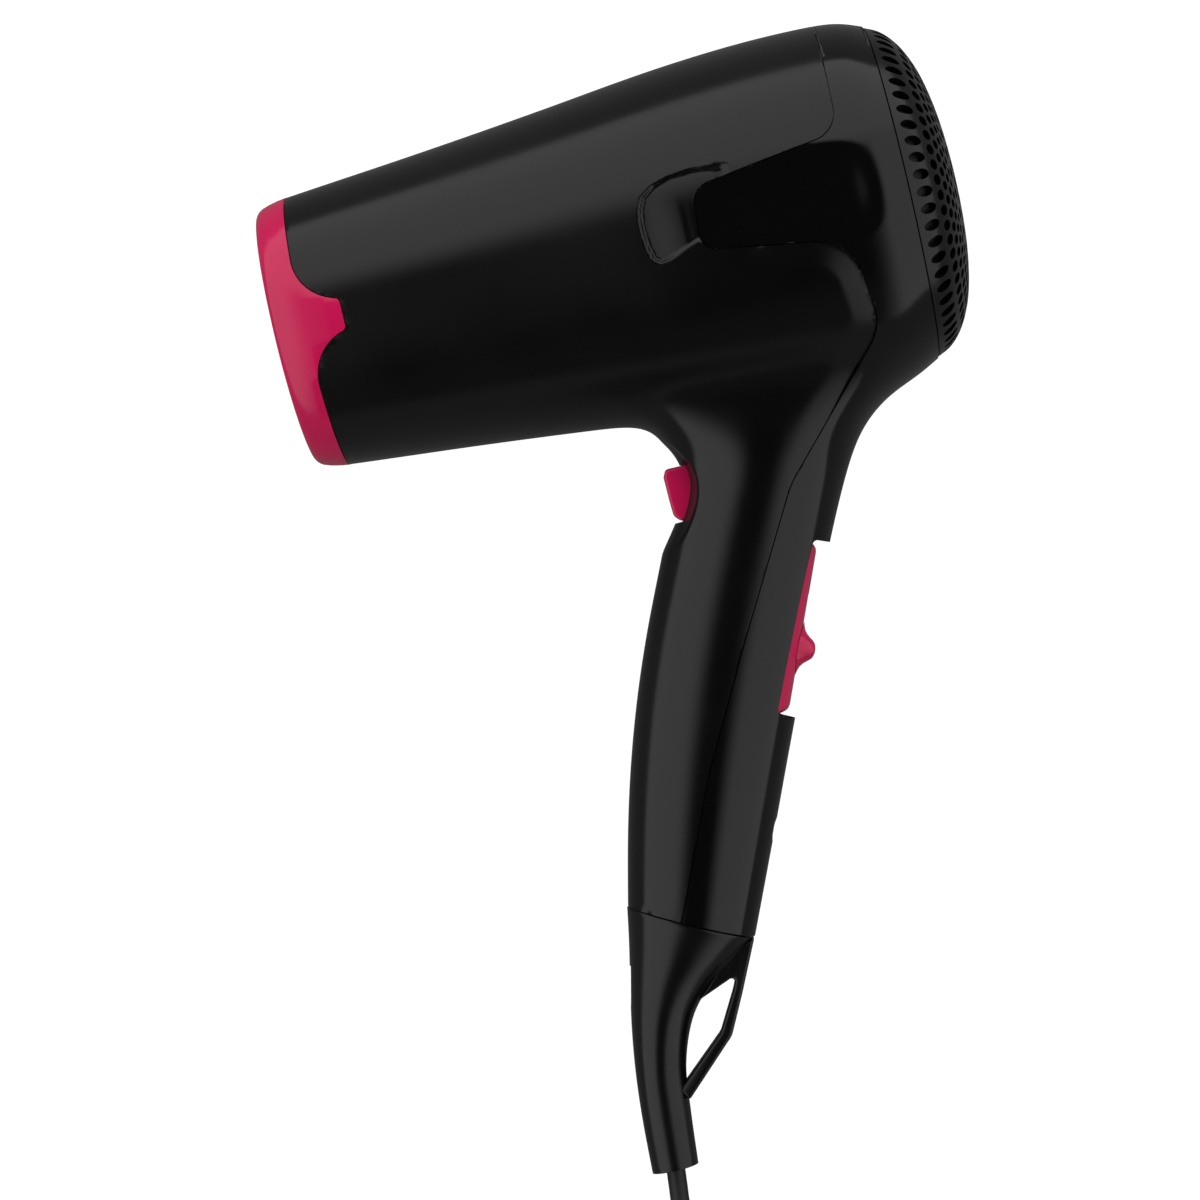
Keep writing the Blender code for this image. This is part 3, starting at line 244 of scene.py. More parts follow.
def moulded_surface():
    """A moulded skin: a fine grain, a slow waviness, and roughness and shade that drift a little."""
    if "moulded surface" in bpy.data.node_groups:
        return bpy.data.node_groups["moulded surface"]
    group = bpy.data.node_groups.new("moulded surface", "ShaderNodeTree")
    for name, value in (
        ("Grain Scale", 2500.0),
        ("Grain", 0.3),
        ("Wave Scale", 60.0),
        ("Wave", 1.0),
        ("Smooth", 0.1),
        ("Rough", 0.2),
    ):
        socket = group.interface.new_socket(name, in_out="INPUT", socket_type="NodeSocketFloat")
        socket.default_value = value
    for name in ("Height", "Roughness", "Shade"):
        group.interface.new_socket(name, in_out="OUTPUT", socket_type="NodeSocketFloat")
    new, link = group.nodes.new, group.links.new
    given, given_out = new("NodeGroupInput"), new("NodeGroupOutput")
    place = new("ShaderNodeTexCoord")
    grain, wave, drift = (new("ShaderNodeTexNoise") for _ in range(3))
    drift.inputs["Scale"].default_value = 45.0
    drift.inputs["Detail"].default_value = 4.0
    for noise, scale in ((grain, "Grain Scale"), (wave, "Wave Scale")):
        link(given.outputs[scale], noise.inputs["Scale"])
    for noise in (grain, wave, drift):
        link(place.outputs["Object"], noise.inputs["Vector"])
    fine, slow, height = (new("ShaderNodeMath") for _ in range(3))
    fine.operation = slow.operation = "MULTIPLY"
    height.operation = "ADD"
    link(grain.outputs["Fac"], fine.inputs[0])
    link(given.outputs["Grain"], fine.inputs[1])
    link(wave.outputs["Fac"], slow.inputs[0])
    link(given.outputs["Wave"], slow.inputs[1])
    link(fine.outputs["Value"], height.inputs[0])
    link(slow.outputs["Value"], height.inputs[1])
    link(height.outputs["Value"], given_out.inputs["Height"])
    rough, shade = new("ShaderNodeMapRange"), new("ShaderNodeMapRange")
    for mapped in (rough, shade):
        mapped.inputs["From Min"].default_value = 0.3
        mapped.inputs["From Max"].default_value = 0.7
        link(drift.outputs["Fac"], mapped.inputs["Value"])
    link(given.outputs["Smooth"], rough.inputs["To Min"])
    link(given.outputs["Rough"], rough.inputs["To Max"])
    shade.inputs["To Min"].default_value = 0.93
    shade.inputs["To Max"].default_value = 1.04
    link(rough.outputs["Result"], given_out.inputs["Roughness"])
    link(shade.outputs["Result"], given_out.inputs["Shade"])
    return group


def moulded(name, colour, smooth, rough, grain=0.3, wave=1.0, relief=0.00002, metallic=0.0, **more):
    """A material with the moulded skin. The relief is in metres."""
    made = bpy.data.materials.new(name)
    made.use_nodes = True
    tree = made.node_tree
    shader = tree.nodes["Principled BSDF"]
    shader.inputs["Metallic"].default_value = metallic
    for socket, value in more.items():
        shader.inputs[socket.replace("_", " ").title().replace("Ior", "IOR")].default_value = value
    skin = tree.nodes.new("ShaderNodeGroup")
    skin.node_tree = moulded_surface()
    skin.inputs["Grain"].default_value = grain
    skin.inputs["Wave"].default_value = wave
    skin.inputs["Smooth"].default_value = smooth
    skin.inputs["Rough"].default_value = rough
    tint = tree.nodes.new("ShaderNodeMix")
    tint.data_type, tint.blend_type = "RGBA", "MULTIPLY"
    tint.inputs["Factor"].default_value = 1.0
    tint.inputs[6].default_value = (*colour, 1.0)
    tree.links.new(skin.outputs["Shade"], tint.inputs[7])
    tree.links.new(tint.outputs[2], shader.inputs["Base Color"])
    tree.links.new(skin.outputs["Roughness"], shader.inputs["Roughness"])
    bump = tree.nodes.new("ShaderNodeBump")
    bump.inputs["Strength"].default_value = 1.0
    bump.inputs["Distance"].default_value = relief
    tree.links.new(skin.outputs["Height"], bump.inputs["Height"])
    tree.links.new(bump.outputs["Normal"], shader.inputs["Normal"])
    return made


cord_sheath = moulded("cord sheath", (0.012, 0.012, 0.012), 0.42, 0.55, grain=0.6, wave=0.5)
mains_cord.data.materials.append(cord_sheath)


# The plug: a moulded two-pin plug with a flexing sleeve at its tail, in the cord's own plastic.
def open_ring(name, count, points):
    """A ring of corners laid in order on these points, open in edit mode, ready to be extruded."""
    bpy.ops.object.select_all(action="DESELECT")
    bpy.ops.mesh.primitive_circle_add(vertices=count, radius=1.0, fill_type="NOTHING")
    made = bpy.context.object
    made.name = made.data.name = name
    for vert, point in zip(made.data.vertices, points):
        vert.co = point
    bpy.ops.object.mode_set(mode="EDIT")
    bpy.ops.mesh.select_mode(type="VERT")
    bpy.ops.mesh.select_all(action="SELECT")
    return made


def extrude_ring(made, points):
    """The selected ring is extruded, and its new corners go to these points in the same order."""
    grid = bmesh.from_edit_mesh(made.data)
    grid.verts.ensure_lookup_table()
    last = len(grid.verts)
    bpy.ops.mesh.extrude_region_move()
    grid = bmesh.from_edit_mesh(made.data)
    grid.verts.ensure_lookup_table()
    for vert, point in zip(grid.verts[last:], points):
        vert.co = point
    bmesh.update_edit_mesh(made.data)


def lofted(name, rings, close=True):
    """A skin drawn out ring by ring from the first, with its two ends filled."""
    made = open_ring(name, len(rings[0]), rings[0])
    for ring in rings[1:]:
        extrude_ring(made, ring)
    if close:
        bpy.ops.mesh.edge_face_add()
        bpy.ops.mesh.select_all(action="DESELECT")
        grid = bmesh.from_edit_mesh(made.data)
        grid.verts.ensure_lookup_table()
        for vert in grid.verts[: len(rings[0])]:
            vert.select = True
        grid.select_flush(True)
        bmesh.update_edit_mesh(made.data)
        bpy.ops.mesh.edge_face_add()
    bpy.ops.mesh.select_all(action="SELECT")
    bpy.ops.mesh.normals_make_consistent(inside=False)
    bpy.ops.object.mode_set(mode="OBJECT")
    return made


def turned(name, profile, steps):
    """A closed outline of (x, radius) points, spun all the way round the X axis."""
    made = open_ring(name, len(profile), [(x, 0.0, radius) for x, radius in profile])
    bpy.ops.mesh.spin(steps=steps, angle=2 * math.pi, center=(0.0, 0.0, 0.0), axis=(1.0, 0.0, 0.0))
    bpy.ops.mesh.select_all(action="SELECT")
    bpy.ops.mesh.remove_doubles(threshold=1e-6)
    bpy.ops.mesh.normals_make_consistent(inside=False)
    bpy.ops.object.mode_set(mode="OBJECT")
    return made


def only(made):
    """Leaves this piece alone selected, and active."""
    bpy.ops.object.select_all(action="DESELECT")
    made.select_set(True)
    bpy.context.view_layer.objects.active = made


def apply_all(made):
    only(made)
    for modifier in list(made.modifiers):
        bpy.ops.object.modifier_apply(modifier=modifier.name)
    return made


def rounded_edges(made, width, segments=2, angle=35):
    bevel = made.modifiers.new("rounded edges", "BEVEL")
    bevel.width, bevel.segments = width, segments
    bevel.limit_method, bevel.angle_limit = "ANGLE", math.radians(angle)
    return apply_all(made)


def smooth_by_angle(made, degrees=35):
    only(made)
    bpy.ops.object.shade_smooth_by_angle(angle=math.radians(degrees))
    return made


def fitted(made, paint, body, slot, *replaced):
    """The finished piece takes its material, rides on its body and stands for its CAD nodes."""
    made.data.materials.append(paint)
    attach(made, body)
    if replaced:
        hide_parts(*replaced)


def oval_ring(centre, across, up, count):
    angles = [2 * math.pi * (k + 0.5) / count for k in range(count)]
    return [centre + across * math.cos(a) + up * math.sin(a) for a in angles]


plug_sections = (
    (0.0000, 0.0035, 0.0035),
    (0.0040, 0.0037, 0.0037),
    (0.0110, 0.0042, 0.0042),
    (0.0180, 0.0047, 0.0047),
    (0.0198, 0.0052, 0.0051),
    (0.0212, 0.0096, 0.0088),
    (0.0240, 0.0130, 0.0108),
    (0.0270, 0.0150, 0.0121),
    (0.0320, 0.0165, 0.0129),
    (0.0370, 0.0171, 0.0132),
    (0.0550, 0.0171, 0.0132),
    (0.0562, 0.0162, 0.0124),
    (0.0565, 0.0140, 0.0104),
)
rings = [
    oval_ring(plug_spot + Vector((along, 0.0, 0.0)), Vector((0.0, wide, 0.0)), Vector((0.0, 0.0, tall)), 32)
    for along, wide, tall in plug_sections
]
plug_body = lofted("mains_plug", rings)
# Grooves cut round the sleeve let it bend.
for k in range(5):
    groove_x = plug_spot.x + 0.0030 + 0.0030 * k
    bpy.ops.object.select_all(action="DESELECT")
    bpy.ops.mesh.primitive_torus_add(
        major_radius=0.0046 + 0.0001 * k,
        minor_radius=0.0007,
        major_segments=32,
        minor_segments=8,
        location=(groove_x, plug_spot.y, plug_height),
        rotation=(0.0, math.pi / 2, 0.0),
    )
    groove = bpy.context.object
    cut = plug_body.modifiers.new("groove", "BOOLEAN")
    cut.operation, cut.solver, cut.object = "DIFFERENCE", "EXACT", groove
    apply_all(plug_body)
    bpy.data.objects.remove(groove)
smooth_by_angle(plug_body, 30)
fitted(plug_body, cord_sheath, "housing", "black_rubber", "plug_body")

pin_brass = moulded("pin brass", (0.72, 0.50, 0.20), 0.16, 0.30, grain=0.2, wave=0.2, metallic=1.0)
pin_aside = 0.0095
pin_profile = (
    (0.0568, 0.0),
    (0.0568, 0.0024),
    (0.0745, 0.0024),
    (0.0751, 0.0021),
    (0.0755, 0.0014),
    (0.0755, 0.0),
)
for node, side in (("plug_pin_left", 1), ("plug_pin_right", -1)):
    pin = turned(node.replace("plug_pin", "plug_prong"), pin_profile, 24)
    pin.data.transform(Matrix.Translation(plug_spot + Vector((0.0, side * pin_aside, 0.0))))
    smooth_by_angle(pin, 30)
    fitted(pin, pin_brass, "housing", "brass", node)

# The tie: a rubber strap closed round the wound turns.
strap_thickness, strap_half_width, corner = 0.0007, 0.0030, 0.0030
tie_half = (coil_outer - coil_inner) / 2 + strap_thickness
tie_middle = coil_centre + Vector(((coil_outer + coil_inner) / 2, 0.0, coil_lift + coil_height / 2))
tie_tall = coil_height / 2 + strap_thickness
outline = []
for across, up, start in ((1, 1, 0.0), (-1, 1, 0.5), (-1, -1, 1.0), (1, -1, 1.5)):
    for k in range(7):
        angle = math.pi * (start + k / 12)
        outline.append(
            Vector((
                across * (tie_half - corner) + corner * math.cos(angle),
                0.0,
                up * (tie_tall - corner) + corner * math.sin(angle),
            ))
        )
rings = [
    [tie_middle + point + Vector((0.0, y, 0.0)) for point in outline]
    for y in (-strap_half_width, strap_half_width)
]
cord_tie = lofted("cord_strap", rings, close=False)
wall = cord_tie.modifiers.new("strap thickness", "SOLIDIFY")
wall.thickness, wall.offset = strap_thickness, 0.0
apply_all(cord_tie)
rounded_edges(cord_tie, 0.0002)
smooth_by_angle(cord_tie, 40)
fitted(cord_tie, cord_sheath, "housing", "black_rubber", "cord_tie")

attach(mains_cord, "housing")
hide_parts("cord_lead", "cord_coil", "cord_tail")

# ------------------------------------------------------------------ housing
# Two injection-moulded ABS shells in black, clipped and screwed together. The front one makes the
# barrel and the front of the handle, with a fine satin skin. The rear one is polished; its tongue
# reaches forward along the barrel as a flat mirror field, and meets a dished recess in the front.

barrel_stations = (
    (0.0040, 0.0356),
    (0.0180, 0.0369),
    (0.0450, 0.0392),
    (0.0740, 0.0422),
    (0.0880, 0.0438),
    (0.1030, 0.0456),
    (0.1190, 0.0470),
    (0.1350, 0.0478),
    (0.1500, 0.0477),
    (0.1590, 0.0471),
    (0.1652, 0.0445),
)
barrel_sides, handle_sides = 24, 16
neck_first, neck_last, neck_reach = 4, 8, 2
neck_sag = {8: 0.0035, 9: 0.0008}
handle_sections = (
    ((0.0922, -0.0545), (0.1410, -0.0580), 0.0205),
    ((0.0879, -0.0670), (0.1345, -0.0690), 0.0182),
    ((0.0822, -0.0800), (0.1285, -0.0810), 0.0174),
    ((0.0752, -0.0950), (0.1215, -0.0960), 0.0170),
    ((0.0683, -0.1120), (0.1125, -0.1160), 0.0167),
    ((0.0622, -0.1300), (0.1041, -0.1350), 0.0163),
    ((0.0572, -0.1480), (0.0955, -0.1550), 0.0155),
    ((0.0532, -0.1658), (0.0840, -0.1811), 0.0140),
)
housing_wall, seam_gap = 0.0022, 0.0003
seam_corners = (
    ((0.1534, 0.0600), 0),
    ((0.1512, 0.0150), 0.0075),
    ((0.1122, 0.0097), 0.0055),
    ((0.1112, -0.0062), 0.0045),
    ((0.1480, -0.0120), 0.0130),
    ((0.1512, -0.0345), 0.0110),
    ((0.1200, -0.0680), 0.0250),
    ((0.0995, -0.1042), 0.0800),
    ((0.0825, -0.1357), 0.0800),
    ((0.0600, -0.1870), 0),
)


def swelling(sides):
    """How much larger a cage's ring is than the round surface that it subdivides to."""
    return 3 / (2 + math.cos(2 * math.pi / sides))


def barrel_ring(x, radius, sides):
    angles = [2 * math.pi * k / sides for k in range(sides)]
    return [Vector((x, radius * math.sin(a), -radius * math.cos(a))) for a in angles]


def handle_ring(front, rear, half_width, sides, grow=1.0):
    front, rear = Vector((front[0], 0.0, front[1])), Vector((rear[0], 0.0, rear[1]))
    middle, reach = (front + rear) / 2, (front - rear) / 2
    side = Vector((0.0, half_width, 0.0))
    angles = [2 * math.pi * k / sides for k in range(sides)]
    return [middle + grow * (reach * math.cos(a) + side * math.sin(a)) for a in angles]


def rounded_path(corners, steps=10):
    """A path through corners, each given as a point and the radius it is rounded to."""
    path = []
    for i, (point, radius) in enumerate(corners):
        here = Vector(point)
        if not radius:
            path.append(here)
            continue
        back = (Vector(corners[i - 1][0]) - here).normalized()
        ahead = (Vector(corners[(i + 1) % len(corners)][0]) - here).normalized()
        half = back.angle(ahead) / 2
        middle = here + (back + ahead).normalized() * radius / math.sin(half)
        start = here + back * radius / math.tan(half) - middle
        sweep = (math.pi - 2 * half) * (1 if back.cross(ahead) < 0 else -1)
        for k in range(steps + 1):
            path.append(middle + Matrix.Rotation(sweep * k / steps, 2) @ start)
    return path


def beside(path, distance):
    """The path moved sideways, to its left as it runs."""
    out = []
    for i, point in enumerate(path):
        run = (path[min(i + 1, len(path) - 1)] - path[max(i - 1, 0)]).normalized()
        out.append(point + distance * Vector((-run.y, run.x)))
    return out


def slab(name, outline, half_width):
    """A flat outline of (x, z) points, as thick as this to either side of the dryer's middle."""
    rings = [[Vector((x, y, z)) for x, z in outline] for y in (-half_width, half_width)]
    return lofted(name, rings)


def cut(made, cutter, operation="DIFFERENCE"):
    """A Boolean with the cutter, which is then thrown away."""
    boolean = made.modifiers.new("cut", "BOOLEAN")
    boolean.operation, boolean.solver, boolean.object = operation, "EXACT", cutter
    apply_all(made)
    bpy.data.objects.remove(cutter)
    return made


# The cage of large faces that both shells are drawn from: a tube whose underside opens into the
# handle. The mouth is cut in edit mode, and the handle is then drawn down from its edge.
rings = [barrel_ring(x, radius * swelling(barrel_sides), barrel_sides) for x, radius in barrel_stations]
for i, sag in neck_sag.items():
    for k, point in enumerate(rings[i]):
        point.z -= sag * max(0.0, math.cos(2 * math.pi * k / barrel_sides)) ** 6
cage = lofted("housing cage", rings, close=False)
bpy.ops.object.mode_set(mode="EDIT")
grid = bmesh.from_edit_mesh(cage.data)
grid.verts.ensure_lookup_table()
column = [vert.index % barrel_sides for vert in grid.verts]
row = [vert.index // barrel_sides for vert in grid.verts]
for face in grid.faces:
    rows = {row[vert.index] for vert in face.verts}
    half_round = barrel_sides // 2
    columns = {
        (column[vert.index] + half_round) % barrel_sides - half_round for vert in face.verts
    }
    in_row = min(rows) >= neck_first and max(rows) <= neck_last
    face.select = in_row and min(columns) >= -neck_reach and max(columns) <= neck_reach
bmesh.update_edit_mesh(cage.data)
bpy.ops.mesh.delete(type="FACE")
grid = bmesh.from_edit_mesh(cage.data)
inner_rows = range(neck_first + 1, neck_last)
mouth = [(neck_first, k) for k in range(neck_reach + 1)]
mouth += [(i, neck_reach) for i in inner_rows]
mouth += [(neck_last, k) for k in range(neck_reach, -neck_reach - 1, -1)]
mouth += [(i, -neck_reach) for i in reversed(inner_rows)]
mouth += [(neck_first, k) for k in range(-neck_reach, 0)]
grid.verts.ensure_lookup_table()
places = {}
for vert in grid.verts:
    for i, ring in enumerate(rings):
        if abs(vert.co.x - ring[0].x) < 1e-6:
            angle = math.atan2(vert.co.y, -vert.co.z)
            places[(i, round(angle * barrel_sides / (2 * math.pi)))] = vert
edge_verts = [places[spot] for spot in mouth]
for front, rear, half_width in handle_sections:
    ring = handle_ring(front, rear, half_width, handle_sides, swelling(handle_sides))
    for element in (*grid.verts, *grid.edges, *grid.faces):
        element.select = False
    for near, far in zip(edge_verts, edge_verts[1:] + edge_verts[:1]):
        near.select = True
        grid.edges.get((near, far)).select = True
    marks = [(vert.co.copy(), point) for vert, point in zip(edge_verts, ring)]
    bmesh.update_edit_mesh(cage.data)
    bpy.ops.mesh.extrude_edges_move()
    grid = bmesh.from_edit_mesh(cage.data)
    fresh = [vert for vert in grid.verts if vert.select]
    edge_verts = []
    for old, point in marks:
        vert = min(fresh, key=lambda v: (v.co - old).length)
        fresh.remove(vert)
        edge_verts.append(vert)
    for vert, (old, point) in zip(edge_verts, marks):
        vert.co = point
bmesh.update_edit_mesh(cage.data)
bpy.ops.mesh.select_all(action="SELECT")
bpy.ops.mesh.normals_make_consistent(inside=False)
bpy.ops.object.mode_set(mode="OBJECT")


def subdivided(made, levels):
    smooth = made.modifiers.new("smooth skin", "SUBSURF")
    smooth.levels = smooth.render_levels = levels
    smooth.boundary_smooth = "ALL"
    return apply_all(made)


def duplicate(made, name):
    copy = made.copy()
    copy.data = made.data.copy()
    copy.name = copy.data.name = name
    bpy.context.scene.collection.objects.link(copy)
    return copy


finest = subdivided(duplicate(cage, "finest skin"), 5)
skin = subdivided(duplicate(cage, "skin"), 3)
bpy.data.objects.remove(cage)
# Where the tongue, the recess and the button's hollow are, the skin is made finer.
only(skin)
bpy.ops.object.mode_set(mode="EDIT")
bpy.ops.mesh.select_mode(type="FACE")
grid = bmesh.from_edit_mesh(skin.data)
for face in grid.faces:
    x, y, z = face.calc_center_median()
    tongue_side = abs(y) > 0.030 and 0.094 < x < 0.160 and -0.030 < z < 0.022
    button_hollow = x < 0.101 and -0.082 < z < -0.050 and abs(y) < 0.020
    face.select = tongue_side or button_hollow
bmesh.update_edit_mesh(skin.data)
bpy.ops.mesh.subdivide(number_cuts=1)
grid = bmesh.from_edit_mesh(skin.data)
for face in grid.faces:
    x, y, z = face.calc_center_median()
    face.select = abs(y) > 0.030 and 0.0955 < x < 0.118 and -0.010 < z < 0.018
bmesh.update_edit_mesh(skin.data)
bpy.ops.mesh.subdivide(number_cuts=1)
bpy.ops.object.mode_set(mode="OBJECT")
wrap = skin.modifiers.new("back onto the skin", "SHRINKWRAP")
wrap.target, wrap.wrap_method = finest, "NEAREST_SURFACEPOINT"
apply_all(skin)
bpy.data.objects.remove(finest)


def gently(value, start, end):
    """From 0 at start to 1 at end, easing in and out."""
    t = max(0.0, min(1.0, (value - start) / (end - start)))
    return t * t * (3 - 2 * t)


def distance_to(path, point):
    """How far a flat point is from a path of points."""
    best = 1.0
    for near, far in zip(path, path[1:]):
        run = far - near
        t = max(0.0, min(1.0, (point - near).dot(run) / max(run.length_squared, 1e-12)))
        best = min(best, (point - near - run * t).length)
    return best


def inside(path, point):
    within = False
    for near, far in zip(path, path[1:] + path[:1]):
        if (near.y > point.y) != (far.y > point.y):
            if point.x < near.x + (point.y - near.y) * (far.x - near.x) / (far.y - near.y):
                within = not within
    return within


seam = rounded_path(seam_corners)
recess_outline = [
    Vector(point)
    for point in (
        (0.1210, 0.0138),
        (0.1130, 0.0146),
        (0.1070, 0.0142),
        (0.1025, 0.0128),
        (0.0992, 0.0105),
        (0.0978, 0.0070),
        (0.0974, 0.0030),
        (0.0977, -0.0020),
        (0.0986, -0.0056),
        (0.1002, -0.0071),
        (0.1030, -0.0068),
        (0.1070, -0.0052),
        (0.1110, -0.0038),
        (0.1160, -0.0040),
        (0.1160, 0.0080),
        (0.1210, 0.0100),
    )
]


def shape_front(made, outer_count):
    """The recess before the tongue, the rolled edge below it, and the hollow round the button."""
    for vert in made.data.vertices:
        x, y, z = vert.co
        side = 1.0 if y > 0 else -1.0
        spot = Vector((x, z))
        if abs(y) > 0.030 and 0.094 < x < 0.125 and -0.012 < z < 0.020 and inside(recess_outline, spot):
            # A crisp step down at the recess's outer edge, a floor that rises towards the tongue, and
            # a level strip round the tongue's tip.
            away = distance_to(recess_outline[:13], spot)
            step, rise = gently(away, 0.0, 0.0009), gently(x, 0.0955, 0.1100)
            strip = gently(x, 0.1080, 0.1115)
            vert.co.y -= side * step * (0.0017 - 0.0012 * rise + 0.0005 * strip)
        if 0.118 < x < 0.156 and -0.062 < z < -0.008 and abs(y) > 0.010:
            away = distance_to(seam, spot)
            fade = gently(x, 0.118, 0.130) * gently(z, -0.060, -0.044)
            vert.co.y -= side * 0.0011 * fade * max(0.0, 1 - away / 0.0062)
        if x < 0.104 and -0.084 < z < -0.046 and abs(y) < 0.022:
            across = max(0.0, abs(y) - 0.0078) / 0.0062
            along = (z + 0.0635) / 0.0145
            bowl = max(0.0, 1.0 - across * across - along * along)
            vert.co.x += 0.0032 * bowl**1.4 * (1 - gently(x, 0.094, 0.103))


def shape_rear(made, outer_count):
    """The tongue's mirror field is nearly flat, and blends into the round shell behind it."""
    for vert in made.data.vertices:
        x, y, z = vert.co
        from_middle = abs(y) + (housing_wall if vert.index >= outer_count else 0.0)
        if from_middle < 0.035 or not -0.022 < z < 0.024 or x < 0.105:
            continue
        side = 1.0 if y > 0 else -1.0
        field = 0.0452 + (x - 0.112) * 0.018
        fade = 1 - gently(x, 0.1485 + 0.0018 * math.cos(z / 0.012), 0.1610)
        fade *= 1 - gently(abs(z + 0.0005), 0.0120, 0.0200)
        vert.co.y -= side * max(0.0, from_middle - field) * fade


def behind_seam(inset):
    line = beside(seam, inset)
    return [tuple(point) for point in line] + [(0.300, -0.187), (0.300, 0.060)]


def outlet_outline(grow):
    """The outlet ring's rear edge, with the flared flanks of its tab, and all that is before it."""
    flank_radius, tab_reach, tab_half_width, ring_length = 0.0128, 0.0186, 0.0042, 0.0082
    flank_x = ring_length + flank_radius
    drop = math.acos((flank_x - tab_reach + 0.0008) / flank_radius)
    flank_z = tab_half_width + flank_radius * math.sin(drop)
    lower = [Vector((ring_length, -0.060))]
    for k in range(15):
        angle = drop * k / 14
        x = flank_x - flank_radius * math.cos(angle)
        lower.append(Vector((x, flank_radius * math.sin(angle) - flank_z)))
    for k in range(5):
        angle = math.pi * k / 8
        lower.append(
            Vector((
                tab_reach - 0.0010 * (1 - math.sin(angle)),
                -tab_half_width + 0.0012 * (1 - math.cos(angle)),
            ))
        )
    upper = [Vector((point.x, -point.y)) for point in reversed(lower)]
    edge = beside(lower + upper, -grow)
    return [tuple(point) for point in edge] + [(-0.020, 0.060), (-0.020, -0.060)]


panel_top, panel_foot = Vector((0.1239, 0.0, -0.0837)), Vector((0.1056, 0.0, -0.1270))
run_down = panel_foot - panel_top
panel_length = run_down.length
run_down.normalize()
out_of_handle = Vector((-run_down.z, 0.0, run_down.x))
panel_half_width = 0.0104
on_panel = Matrix((run_down, Vector((0.0, 1.0, 0.0)), out_of_handle)).transposed().to_4x4()
on_panel.translation = panel_top
screw_spot, screw_way = Vector((0.0955, 0.0, -0.1550)), Vector((-0.921, 0.0, 0.389)).normalized()
sideways = Vector((0.0, 1.0, 0.0))
screw_frame = Matrix((screw_way, sideways, screw_way.cross(sideways))).transposed().to_4x4()
screw_frame.translation = screw_spot


def keep_normals(made, source):
    """The cut shell takes its shading from the skin it was cut from, but not on its cut edges."""
    bpy.context.view_layer.update()
    outer = source.evaluated_get(bpy.context.evaluated_depsgraph_get())
    group = made.vertex_groups.new(name="skin")
    on_skin = []
    for vert in made.data.vertices:
        found, place, _, _ = outer.closest_point_on_mesh(vert.co)
        if found and (place - vert.co).length < 4e-6:
            on_skin.append(vert.index)
    group.add(on_skin, 1.0, "REPLACE")
    transfer = made.modifiers.new("shading", "DATA_TRANSFER")
    transfer.object = source
    transfer.use_loop_data = True
    transfer.data_types_loops = {"CUSTOM_NORMAL"}
    transfer.loop_mapping = "POLYINTERP_NEAREST"
    transfer.vertex_group = "skin"
    apply_all(made)
    made.vertex_groups.clear()


def rim_edges(made, source, cosine=0.8):
    """Softens the edges where the outer skin turns into a cut."""
    bpy.context.view_layer.update()
    outer = source.evaluated_get(bpy.context.evaluated_depsgraph_get())
    grid = bmesh.new()
    grid.from_mesh(made.data)
    bmesh.ops.dissolve_degenerate(grid, dist=4e-6, edges=grid.edges)
    weight = grid.edges.layers.float.new("bevel_weight_edge")
    for edge in grid.edges:
        if len(edge.link_faces) != 2 or min(face.calc_area() for face in edge.link_faces) < 5e-9:
            continue
        if edge.link_faces[0].normal.dot(edge.link_faces[1].normal) > cosine:
            continue
        middle = (edge.verts[0].co + edge.verts[1].co) / 2
        found, place, _, _ = outer.closest_point_on_mesh(middle)
        if found and (place - middle).length < 2.5e-4:
            edge[weight] = 1.0
    grid.to_mesh(made.data)
    grid.free()
    bevel = made.modifiers.new("softened rim", "BEVEL")
    bevel.width, bevel.segments = 0.00028, 2
    bevel.limit_method = "WEIGHT"
    bevel.use_clamp_overlap = True
    apply_all(made)


skin.data.shade_smooth()
outer_count = len(skin.data.vertices)
front_outer, rear_outer = duplicate(skin, "front skin only"), duplicate(skin, "rear skin only")
# A lip inside the front shell reaches behind the seam, so that no light passes between the shells.
lip = duplicate(skin, "seam lip")
sunk = lip.modifiers.new("sunk", "DISPLACE")
sunk.strength, sunk.mid_level, sunk.direction = -(housing_wall + 0.00010), 0.0, "NORMAL"
plate = lip.modifiers.new("plate", "SOLIDIFY")
plate.thickness, plate.offset, plate.use_even_offset = 0.0008, -1.0, True
apply_all(lip)
band = [tuple(point) for point in beside(seam, -0.0016)]
band += [tuple(point) for point in reversed(beside(seam, 0.0016))]
cut(lip, slab("lip band", band, 0.070), "INTERSECT")
wall = skin.modifiers.new("wall", "SOLIDIFY")
wall.thickness, wall.offset = housing_wall, -1.0
wall.use_even_offset = True
apply_all(skin)
front_case, rear_case = duplicate(skin, "front_case"), duplicate(skin, "rear_case")
bpy.data.objects.remove(skin)
for shape in (front_outer, front_case):
    shape_front(shape, outer_count)
for shape in (rear_outer, rear_case):
    shape_rear(shape, outer_count)
cut(front_case, slab("behind", behind_seam(-seam_gap / 2), 0.070))
cut(front_case, slab("ring seat", outlet_outline(seam_gap), 0.070))
cut(rear_case, slab("behind", behind_seam(seam_gap / 2), 0.070), "INTERSECT")

button_top, button_foot, button_half_width = -0.0566, -0.0706, 0.0072
hole = [
    (0.080, button_top + gap),
    (0.0965, button_top + gap),
    (0.0965, button_foot - gap),
    (0.080, button_foot - gap),
]
cut(front_case, slab("button hole", hole, button_half_width + gap))



def block(size, middle):
    """A box of this size round its middle, to be rounded, or to cut with."""
    bpy.ops.object.select_all(action="DESELECT")
    bpy.ops.mesh.primitive_cube_add(size=1.0)
    made = bpy.context.object
    made.data.transform(Matrix.Diagonal((*size, 1.0)))
    made.data.transform(Matrix.Translation(middle))
    return made


